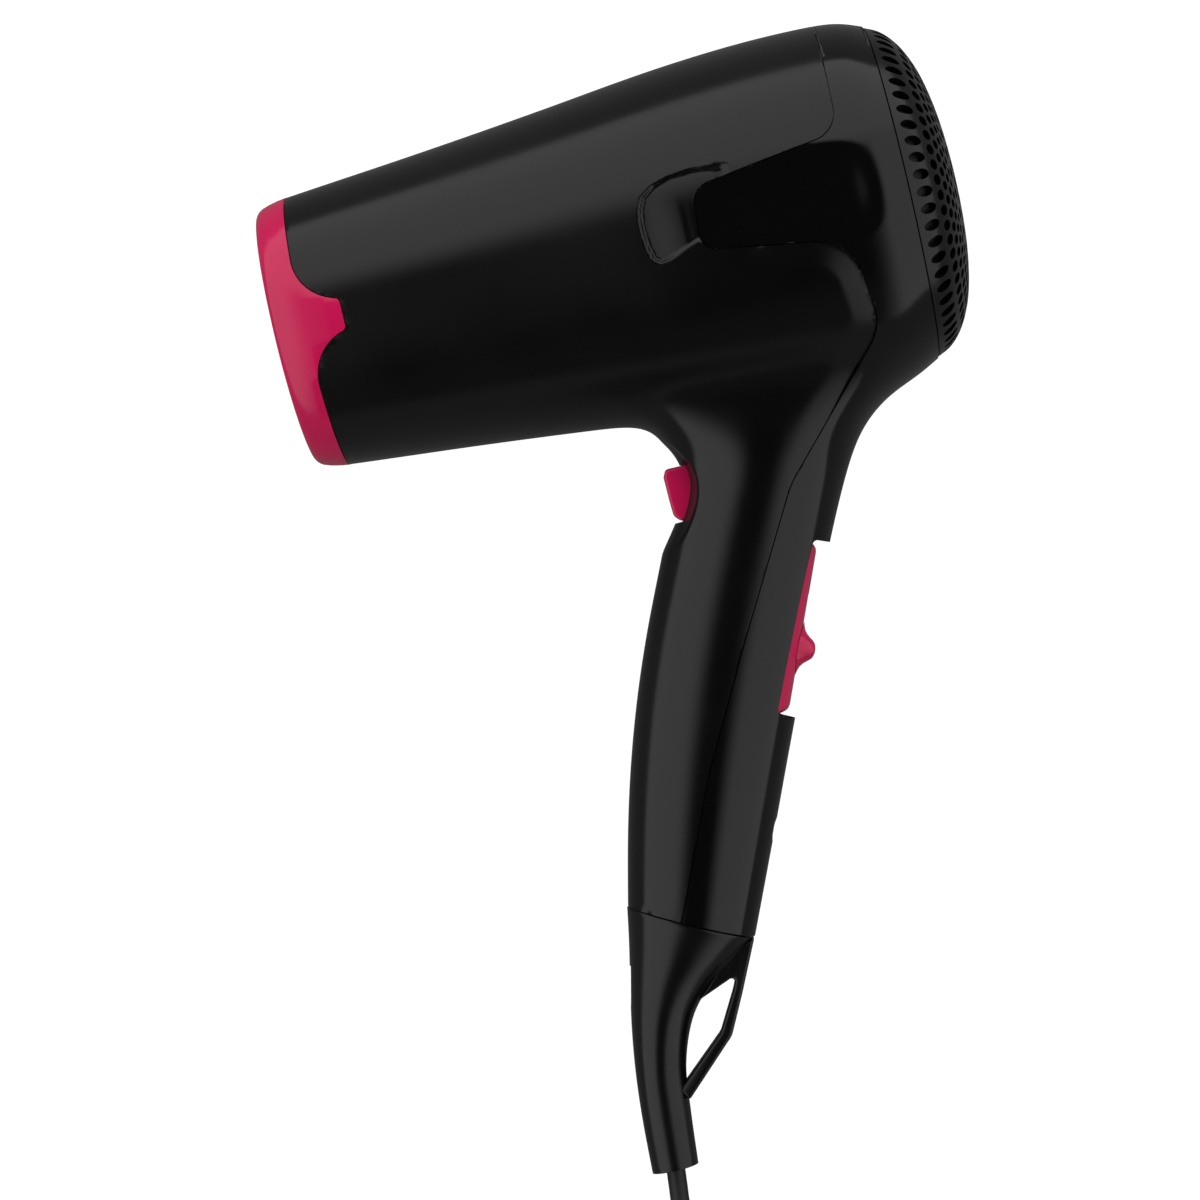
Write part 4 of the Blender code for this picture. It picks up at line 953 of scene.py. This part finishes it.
window_size = (panel_length, 2 * panel_half_width + 2 * gap, 0.0175)
window = block(window_size, (panel_length / 2, 0.0, 0.00125))
rounded_edges(window, 0.0016, 4)
window.data.transform(on_panel)
cut(rear_case, window)
seat = turned("cover seat", [(-0.004, 0.0), (-0.004, 0.0033), (0.0040, 0.0033), (0.0040, 0.0)], 24)
seat.data.transform(screw_frame)
cut(rear_case, seat)

satin, polished = (0.0035, 0.0035, 0.0038), (0.0032, 0.0032, 0.0035)
front_black = moulded(
    "front shell, satin black", satin, 0.17, 0.22, grain=0.35, wave=1.2, relief=0.000012
)
rear_black = moulded(
    "rear shell, polished black", polished, 0.11, 0.15, grain=0.05, wave=1.0, relief=0.000010
)
for shell, source, node, paint, slot in (
    (front_case, front_outer, "front_shell", front_black, "black_satin"),
    (rear_case, rear_outer, "rear_shell", rear_black, "black_gloss"),
):
    rim_edges(shell, source)
    shell.data.shade_smooth()
    smooth_by_angle(shell, 40)
    keep_normals(shell, source)
    if shell == front_case:
        only(front_case)
        lip.select_set(True)
        bpy.ops.object.join()
    shell.data.transform(lay_down)
    shell.data.materials.clear()
    fitted(shell, paint, "housing", slot, node)
for shape in (front_outer, rear_outer):
    bpy.data.objects.remove(shape)

# ------------------------------------------------------------------ handle boot and hanging loop
# One soft black moulding that closes the foot of the handle and narrows to a strain relief on the
# cord. A strap bowed off its back makes the hanging loop. The cord clamp sits in its hollow.

boot_sections = (
    (0.0529, -0.1661, 0.0836, -0.1815, 0.0138),
    (0.0512, -0.1755, 0.0765, -0.1862, 0.0123),
    (0.0488, -0.1870, 0.0690, -0.1916, 0.0103),
    (0.0466, -0.1985, 0.0629, -0.1989, 0.0084),
    (0.0450, -0.2100, 0.0586, -0.2101, 0.0071),
    (0.0440, -0.2220, 0.0570, -0.2225, 0.0065),
    (0.0434, -0.2360, 0.0558, -0.2360, 0.0062),
)
boot_hollow = (
    (0.0553, -0.1620, 0.0820, -0.1750, 0.0114),
    (0.0536, -0.1755, 0.0741, -0.1845, 0.0099),
    (0.0515, -0.1885, 0.0680, -0.1885, 0.0079),
)
strap_corners = (
    ((0.0838, -0.1812), 0),
    ((0.0775, -0.1945), 0.030),
    ((0.0722, -0.2050), 0.006),
    ((0.0575, -0.2190), 0),
    ((0.0555, -0.2160), 0),
    ((0.0694, -0.2036), 0.005),
    ((0.0751, -0.1935), 0.020),
    ((0.0768, -0.1897), 0.0008),
    ((0.0655, -0.1942), 0),
    ((0.0760, -0.1840), 0),
)
cord_bore_radius = 0.0028


def between(sections, steps):
    """Sections of numbers with a smooth run of further ones laid between them."""
    ends = [sections[0], *sections, sections[-1]]
    out = []
    for a, b, c, d in zip(ends, ends[1:], ends[2:], ends[3:]):
        for k in range(steps):
            t = k / steps
            out.append(
                tuple(
                    0.5 * (2 * q + (r - p) * t + (2 * p - 5 * q + 4 * r - s) * t * t)
                    + 0.5 * (3 * q - p - 3 * r + s) * t**3
                    for p, q, r, s in zip(a, b, c, d)
                )
            )
    out.append(tuple(sections[-1]))
    return out


def placed(made, origin, way):
    """Turns a piece made along X to run this way from its origin."""
    way = Vector(way).normalized()
    across = Vector((0.0, 1.0, 0.0))
    turn = Matrix((way, across, way.cross(across))).transposed().to_4x4()
    turn.translation = origin
    made.data.transform(turn)
    return made


def oval_rings(sections, sides):
    return [handle_ring((a, b), (c, d), wide, sides) for a, b, c, d, wide in sections]


clamp_screw_x, clamp_screw_aside, boot_floor = 0.0597, 0.0050, -0.1885
boot = lofted("handle_end", oval_rings(between(boot_sections, 6), 56))
strap = slab("strap", rounded_path(strap_corners, 8), 0.0042)
rounded_edges(strap, 0.0010, 3, 50)
cut(boot, strap, "UNION")
cut(boot, lofted("boot hollow", oval_rings(boot_hollow, 24)))
screw_way_profile = [(-0.001, 0.0), (-0.001, 0.0017), (0.008, 0.0017), (0.008, 0.0)]
for side in (-1, 1):
    way = turned("clamp screw way", screw_way_profile, 16)
    start = Vector((clamp_screw_x, clamp_screw_aside * side, boot_floor))
    cut(boot, placed(way, start, (0.0, 0.0, -1.0)))
bore = [(-0.055, 0.0), (-0.055, cord_bore_radius), (0.003, cord_bore_radius), (0.003, 0.0)]
cut(boot, placed(turned("cord bore", bore, 24), Vector((0.0496, 0.0, -0.2363)), (-0.02, 0.0, -1.0)))
rounded_edges(boot, 0.00035, 2, 50)
smooth_by_angle(boot, 45)
boot.data.transform(lay_down)
boot_black = moulded(
    "boot, soft black", (0.0045, 0.0045, 0.0048), 0.20, 0.28, grain=0.4, relief=0.000012
)
fitted(boot, boot_black, "housing", "black_gloss", "handle_boot")


# ------------------------------------------------------------------ air outlet
# A gloss pink ring snaps into the mouth of the barrel, with a pointed tab on each side. A black
# grille of thin rings and bars stands inside it and keeps fingers off the heater.

ring_skirt = (
    (0.0000, 0.0322),
    (0.0000, 0.0326),
    (0.0001, 0.0331),
    (0.0004, 0.0336),
    (0.0009, 0.0341),
    (0.0017, 0.0346),
    (0.0035, 0.0352),
    (0.0060, 0.03575),
    (0.0085, 0.0361),
    (0.0140, 0.03665),
    (0.0200, 0.0371),
    (0.0200, 0.0350),
    (0.0060, 0.0336),
    (0.0060, 0.0318),
    (0.0005, 0.0318),
)
spigot = ((0.0040, 0.0318), (0.0040, 0.0334), (0.0146, 0.0334), (0.0150, 0.0331), (0.0150, 0.0318))
pink_ring = turned("pink_ring", ring_skirt, 144)
cut(pink_ring, slab("ring edge", outlet_outline(0.0), 0.070), "INTERSECT")
cut(pink_ring, turned("spigot", spigot, 144), "UNION")
rounded_edges(pink_ring, 0.00030, 2, 50)
smooth_by_angle(pink_ring, 40)
pink_ring.data.transform(lay_down)
gloss_pink = moulded("gloss pink", (0.900, 0.0130, 0.1300), 0.13, 0.20, grain=0.15, wave=1.6)
fitted(pink_ring, gloss_pink, "housing", "pink_gloss", "outlet_ring")


def hoop(name, radius, wide, low, high, steps=96):
    """A flat hoop round the barrel's axis, with its edges eased."""
    inner, outer, ease = radius - wide / 2, radius + wide / 2, 0.00025
    profile = [(low, inner), (low, outer), (high, outer), (high, inner)]
    made = turned(name, profile, steps)
    return rounded_edges(made, ease, 1, 50)


grille_low, grille_high = 0.0070, 0.0090
guard_radius, guard_step = 0.0308, 0.0002
finger_guard = hoop("finger_guard", guard_radius, 0.0013, grille_low, grille_high)
for radius in (0.0052, 0.0105, 0.0158, 0.0210, 0.0262):
    inner_hoop = hoop("guard ring", radius, 0.0009, grille_low + guard_step, grille_high - guard_step)
    cut(finger_guard, inner_hoop, "UNION")
for k in range(3):
    bar_size = (grille_high - grille_low, 2 * guard_radius, 0.0010)
    bar = block(bar_size, ((grille_low + grille_high) / 2, 0.0, 0.0))
    bar.data.transform(Matrix.Rotation(math.pi * k / 3, 4, "X"))
    rounded_edges(bar, 0.00020, 1)
    cut(finger_guard, bar, "UNION")
smooth_by_angle(finger_guard, 35)
finger_guard.data.transform(lay_down)
grille_black = moulded(
    "grille, satin black", (0.0040, 0.0040, 0.0043), 0.18, 0.25, grain=0.35, wave=0.8, relief=0.000012
)
fitted(finger_guard, grille_black, "housing", "black_satin", "outlet_grille")


# ------------------------------------------------------------------ air inlet
# The domed inlet grille pulls straight off for cleaning. Its outer row is of long slots, and rows of small
# round holes fill the middle. A fine steel gauze lies behind it. The gauzes behind the holes are coloured
# near black: painted shade for the inside of the dome.

dome_outline = (
    (0.1656, 0.0440),
    (0.1692, 0.0422),
    (0.1725, 0.0388),
    (0.1752, 0.0340),
    (0.1772, 0.0282),
    (0.1788, 0.0200),
    (0.1797, 0.0105),
    (0.1800, 0.0030),
)
dome_wall, skirt_end, skirt_radius = 0.0018, 0.1606, 0.0412
outer_line = between(dome_outline, 5)
inner_line = [(x - dome_wall * 0.75, r - dome_wall * 0.70) for x, r in reversed(outer_line[1:])]
profile = [(skirt_end, skirt_radius - 0.0012), (skirt_end, skirt_radius), (0.1654, skirt_radius)]
profile += [(0.1654, 0.0437)] + outer_line + [(0.1800, 0.0)]
profile += [(0.1800 - dome_wall, 0.0), (0.1800 - dome_wall, 0.0030)]
profile += [(x, r) for x, r in inner_line if r > 0.0032 and r < skirt_radius - 0.0013]
profile += [(0.1668, skirt_radius - 0.0012)]
dome = turned("inlet_dome", profile, 132)


def dome_place(radius):
    """Where the dome's skin is this far from the axis, and how it leans there."""
    for (x, r), (far_x, far_r) in zip(outer_line, outer_line[1:]):
        if r >= radius >= far_r:
            t = (r - radius) / max(r - far_r, 1e-9)
            return x + (far_x - x) * t, math.atan2(far_x - x, r - far_r)
    return outer_line[-1][0], 0.0


# One punch is made, then copied round each row. A row gives its distance from the axis, how many
# holes, half their width, half their length, and how far round it is shifted, in steps.
hole_rows = (
    (0.0417, 60, 0.00140, 0.00265, 0.0),
    (0.0374, 60, 0.00142, 0.00170, 0.5),
    (0.0341, 60, 0.00128, 0.00140, 0.0),
    (0.0312, 60, 0.00116, 0.00125, 0.5),
    (0.0286, 60, 0.00106, 0.00112, 0.0),
    (0.0250, 30, 0.00150, 0.00150, 0.5),
    (0.0210, 30, 0.00145, 0.00145, 0.0),
    (0.0176, 30, 0.00125, 0.00125, 0.5),
    (0.0138, 15, 0.00150, 0.00150, 0.0),
    (0.0102, 15, 0.00140, 0.00140, 0.5),
    (0.0064, 8, 0.00140, 0.00140, 0.0),
)
bpy.ops.object.select_all(action="DESELECT")
bpy.ops.mesh.primitive_cylinder_add(vertices=12, radius=1.0, depth=0.0056)
blank = bpy.context.object
punches = []
for radius, count, wide, long, offset in hole_rows:
    x, lean = dome_place(radius)
    for k in range(count):
        punch = duplicate(blank, "punch")
        punch.data.transform(Matrix.Rotation(math.pi / 2, 4, "Y"))
        punch.data.transform(Matrix.Diagonal((1.0, wide, long, 1.0)))
        punch.data.transform(Matrix.Rotation(-lean, 4, "Y"))
        punch.data.transform(Matrix.Translation((x - 0.0008, 0.0, radius)))
        punch.data.transform(Matrix.Rotation(2 * math.pi * (k + offset) / count, 4, "X"))
        punches.append(punch)
bpy.data.objects.remove(blank)
only(punches[0])
for punch in punches:
    punch.select_set(True)
bpy.ops.object.join()
cut(dome, punches[0])
smooth_by_angle(dome, 32)
dome.data.transform(lay_down)
fitted(dome, grille_black, "inlet_grille", "black_satin", "inlet_grille")

# A fine gauze lines the dome, so that the holes show a weave and no daylight. Its near-black colour is
# painted shade, standing in for the shade inside the dome behind the holes.
lining = [(x - dome_wall * 0.75 - 0.0004, r - dome_wall * 0.70 - 0.0003) for x, r in outer_line[1:-1]]
lining = [(0.1640, 0.0396), (0.1662, 0.0396)] + [(x, r) for x, r in lining if r < 0.0394]
lining += [(0.1800 - dome_wall - 0.0004, 0.0)]
back = [(x - 0.0002, r) if r == 0.0 else (x - 0.0002, r - 0.0002) for x, r in reversed(lining)]
gauze = turned("shade_gauze_lining", lining + back, 96)
gauze.data.shade_smooth()
gauze.data.transform(lay_down)
gauze_shade_paint = moulded("gauze, black weave and painted shade", (0.010, 0.010, 0.010), 0.45, 0.60, grain=0.2, wave=0.2)
tree = gauze_shade_paint.node_tree
place = tree.nodes.new("ShaderNodeTexCoord")
threads = [tree.nodes.new("ShaderNodeTexWave") for _ in range(2)]
crossing = tree.nodes.new("ShaderNodeMath")
crossing.operation = "MULTIPLY"
for i, thread in enumerate(threads):
    thread.bands_direction = "YZ"[i]
    thread.inputs["Scale"].default_value = 500.0
    tree.links.new(place.outputs["Object"], thread.inputs["Vector"])
    tree.links.new(thread.outputs["Fac"], crossing.inputs[i])
# Both thread colours are near black: painted shade for the dark inside of the dome. The weave itself is a
# pattern.
shade = tree.nodes.new("ShaderNodeMix")
shade.data_type = "RGBA"
shade.inputs[6].default_value = (0.004, 0.004, 0.004, 1.0)
shade.inputs[7].default_value = (0.040, 0.040, 0.040, 1.0)
tree.links.new(crossing.outputs["Value"], shade.inputs["Factor"])
tree.links.new(shade.outputs[2], tree.nodes["Principled BSDF"].inputs["Base Color"])
fitted(gauze, gauze_shade_paint, "inlet_grille", "black_satin")


# ------------------------------------------------------------------ slide switch
# A gloss pink insert, crowned across and rounded at its ends, sits low in a window in the back of
# the handle. A flared pink knob slides along it and works the speed switch below.

insert_edge, insert_middle, insert_corner = 0.0029, 0.0001, 0.0016
knob_from_top, knob_travel = 0.0288, 0.0110
insert_sections = []
insert_stops = [0.0003, 0.0004, 0.0006, 0.0010, 0.0015, 0.0022, 0.0032, 0.0045, 0.0062, 0.0090, 0.0130]
insert_stops += [panel_length - stop for stop in reversed(insert_stops)]
for stop in insert_stops:
    from_end = min(stop, panel_length - stop) - 0.0003
    corner = insert_corner - min(insert_corner, from_end)
    half = panel_half_width - insert_corner + math.sqrt(insert_corner**2 - corner**2)
    rise = 1 - (1 - min(1.0, from_end / 0.0030)) ** 2.4
    top = []
    for k in range(21):
        y = half * math.cos(math.pi * k / 20)
        crown = max(0.0, 1 - (abs(y) / panel_half_width) ** 2.2)
        top.append(Vector((stop, y, -insert_edge + (insert_edge - insert_middle) * rise * crown)))
    foot = [Vector((stop, y, -insert_edge - 0.0020)) for y in (-half, half)]
    insert_sections.append(top + foot)
insert = lofted("switch_insert", insert_sections)
slot_start, slot_end = knob_from_top - knob_travel - 0.0036, knob_from_top + 0.0036
slot_size = (slot_end - slot_start, 0.0044, 0.0160)
slot = block(slot_size, ((slot_start + slot_end) / 2, 0.0, -0.0040))
rounded_edges(slot, 0.0006, 2)
cut(insert, slot)
rounded_edges(insert, 0.00015, 1, 50)
smooth_by_angle(insert, 40)
insert.data.transform(on_panel)
insert.data.transform(lay_down)
fitted(insert, gloss_pink, "housing", "pink_gloss", "switch_panel")

# Rise above the insert, half length and half width of the knob's sections.
knob_sections = (
    (0.0001, 0.0072, 0.0052),
    (0.0003, 0.0061, 0.0051),
    (0.0008, 0.0048, 0.0049),
    (0.0015, 0.0039, 0.0047),
    (0.0023, 0.0032, 0.0044),
    (0.0030, 0.0027, 0.0042),
    (0.0036, 0.0021, 0.0039),
    (0.0039, 0.0015, 0.0034),
    (0.0041, 0.0007, 0.0024),
)
rings = []
for rise, long, wide in knob_sections:
    centre = Vector((knob_from_top, 0.0, rise - insert_middle))
    rings.append(oval_ring(centre, Vector((long, 0.0, 0.0)), Vector((0.0, wide, 0.0)), 40))
knob = lofted("speed_knob", rings)
for vert in knob.data.vertices:
    # The knob's foot follows the crown of the insert.
    drop = (insert_edge - insert_middle) * (abs(vert.co.y) / panel_half_width) ** 2.2
    vert.co.z -= drop * (1 - (vert.co.z + insert_middle) / knob_sections[-1][0])
stem = block((0.0064, 0.0036, 0.0084), (knob_from_top, 0.0, -insert_middle - 0.0032))
cut(knob, stem, "UNION")
smooth_by_angle(knob, 40)
knob.data.transform(on_panel)
knob.data.transform(lay_down)
fitted(knob, gloss_pink, "slider", "pink_gloss", "speed_slider")


# ------------------------------------------------------------------ cool-shot button
# A pink push button in a dished hollow at the front of the handle. A flange behind the shell keeps
# it in, and a coil spring pushes it out.

button_face, button_middle = 0.0884, (button_top + button_foot) / 2
face_outline = [
    (button_face + 0.0006, button_top),
    (0.0962, button_top),
    (0.0962, button_foot),
    (button_face + 0.0016, button_foot),
    (button_face, button_foot + 0.0016),
    (button_face - 0.0002, button_middle - 0.0010),
    (button_face - 0.0003, button_top - 0.0020),
]
cool_button = slab("cool_button_cap", face_outline, button_half_width)
rounded_edges(cool_button, 0.0008, 4, 30)
for low_x, high_x, grow in ((0.0972, 0.0984, 0.0012), (0.0955, 0.0980, -0.0010)):
    tall = button_top - button_foot + 2 * math.copysign(0.001, grow)
    flange_size = (high_x - low_x, 2 * (button_half_width + grow), tall)
    cut(cool_button, block(flange_size, ((low_x + high_x) / 2, 0.0, button_middle)), "UNION")
smooth_by_angle(cool_button, 40)
cool_button.data.transform(lay_down)
fitted(cool_button, gloss_pink, "cool_button", "pink_gloss", "cool_shot_button")

# A return spring of four turns of thin steel wire. The real one shortens as the button is pressed; this one
# keeps one length and rides with the housing.
spring_turns, spring_radius, spring_wire = 4, 0.0022, 0.0003
spring_start, spring_end = 0.0993, 0.1055
coil = bpy.data.curves.new("return_spring", "CURVE")
coil.dimensions = "3D"
coil.bevel_depth, coil.bevel_resolution, coil.use_fill_caps = spring_wire, 2, True
winding = coil.splines.new("POLY")
winding.points.add(spring_turns * 20)
for k, knot in enumerate(winding.points):
    angle = 2 * math.pi * k / 20
    along = spring_start + (spring_end - spring_start) * k / (spring_turns * 20)
    around = (spring_radius * math.sin(angle), button_middle + spring_radius * math.cos(angle))
    knot.co = (along, *around, 1.0)
return_spring = bpy.data.objects.new("return_spring", coil)
bpy.context.scene.collection.objects.link(return_spring)
only(return_spring)
bpy.ops.object.convert(target="MESH")
return_spring = bpy.context.object
return_spring.data.shade_smooth()
return_spring.data.transform(lay_down)
spring_steel = moulded("spring steel", (0.55, 0.55, 0.57), 0.20, 0.35, metallic=1.0)
fitted(return_spring, spring_steel, "housing", "steel", "cool_shot_spring")
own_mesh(return_spring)


# ------------------------------------------------------------------ screw cover
# A small black disc pressed in over the screw that holds the two shells together.

cover_profile = (
    (0.0022, 0.0),
    (0.0022, 0.0029),
    (0.0007, 0.0029),
    (0.00045, 0.00265),
    (0.0004, 0.0023),
    (0.0004, 0.0),
)
cover = turned("cover_disc", cover_profile, 48)
smooth_by_angle(cover, 40)
cover.data.transform(screw_frame)
cover.data.transform(lay_down)
fitted(cover, grille_black, "housing", "black_satin", "screw_cover")


# ------------------------------------------------------------------ inner parts
# The heater, fan, motor, switches, boards, wires and screws keep their CAD shapes. Each takes the finish of
# what it is made of: mica sheet, resistance wire, plated steel, nylon, laminate or PVC. The inlet filter
# instead is coloured near black, as painted shade for the inside of the dome.

# Colour, smoothest and roughest roughness, metallic, and the nodes that take the finish.
inner_finishes = {
    "mica sheet": (
        ((0.48, 0.42, 0.32), 0.45, 0.65, 0.0),
        ("heater_plate_flat", "heater_plate_upright", "heater_sleeve"),
    ),
    "resistance wire": (((0.36, 0.33, 0.30), 0.30, 0.48, 1.0), ("heater_winding",)),
    "plated steel": (
        ((0.58, 0.58, 0.60), 0.20, 0.38, 1.0),
        (
            "motor_can",
            "motor_shaft",
            "handle_screw",
            "clamp_screw_left",
            "clamp_screw_right",
            "thermostat",
        ),
    ),
    # The inlet filter's near-black colour is painted shade for the inside of the dome behind the grille's
    # holes.
    "filter gauze, dark as painted shade": (((0.05, 0.05, 0.052), 0.40, 0.60, 0.6), ("inlet_filter",)),
    "black nylon": (((0.012, 0.012, 0.013), 0.30, 0.45, 0.0), ("fan_stator", "fan_rotor")),
    "white nylon": (
        ((0.62, 0.62, 0.59), 0.35, 0.50, 0.0),
        (
            "motor_end_cap",
            "cool_shot_switch",
            "slide_switch_body",
            "noise_capacitor",
            "thermal_fuse",
            "cord_clamp",
        ),
    ),
    "circuit laminate": (
        ((0.02, 0.16, 0.06), 0.22, 0.40, 0.0),
        ("control_board", "rectifier_board"),
    ),
    "red sheath": (((0.42, 0.015, 0.015), 0.30, 0.42, 0.0), ("wire_live",)),
    "blue sheath": (((0.02, 0.06, 0.36), 0.30, 0.42, 0.0), ("wire_neutral",)),
}
for name, ((colour, smooth, rough, metallic), members) in inner_finishes.items():
    paint = moulded(name, colour, smooth, rough, grain=0.5, wave=0.6, metallic=metallic)
    for member in members:
        for place in nodes[member].material_slots:
            place.material = paint
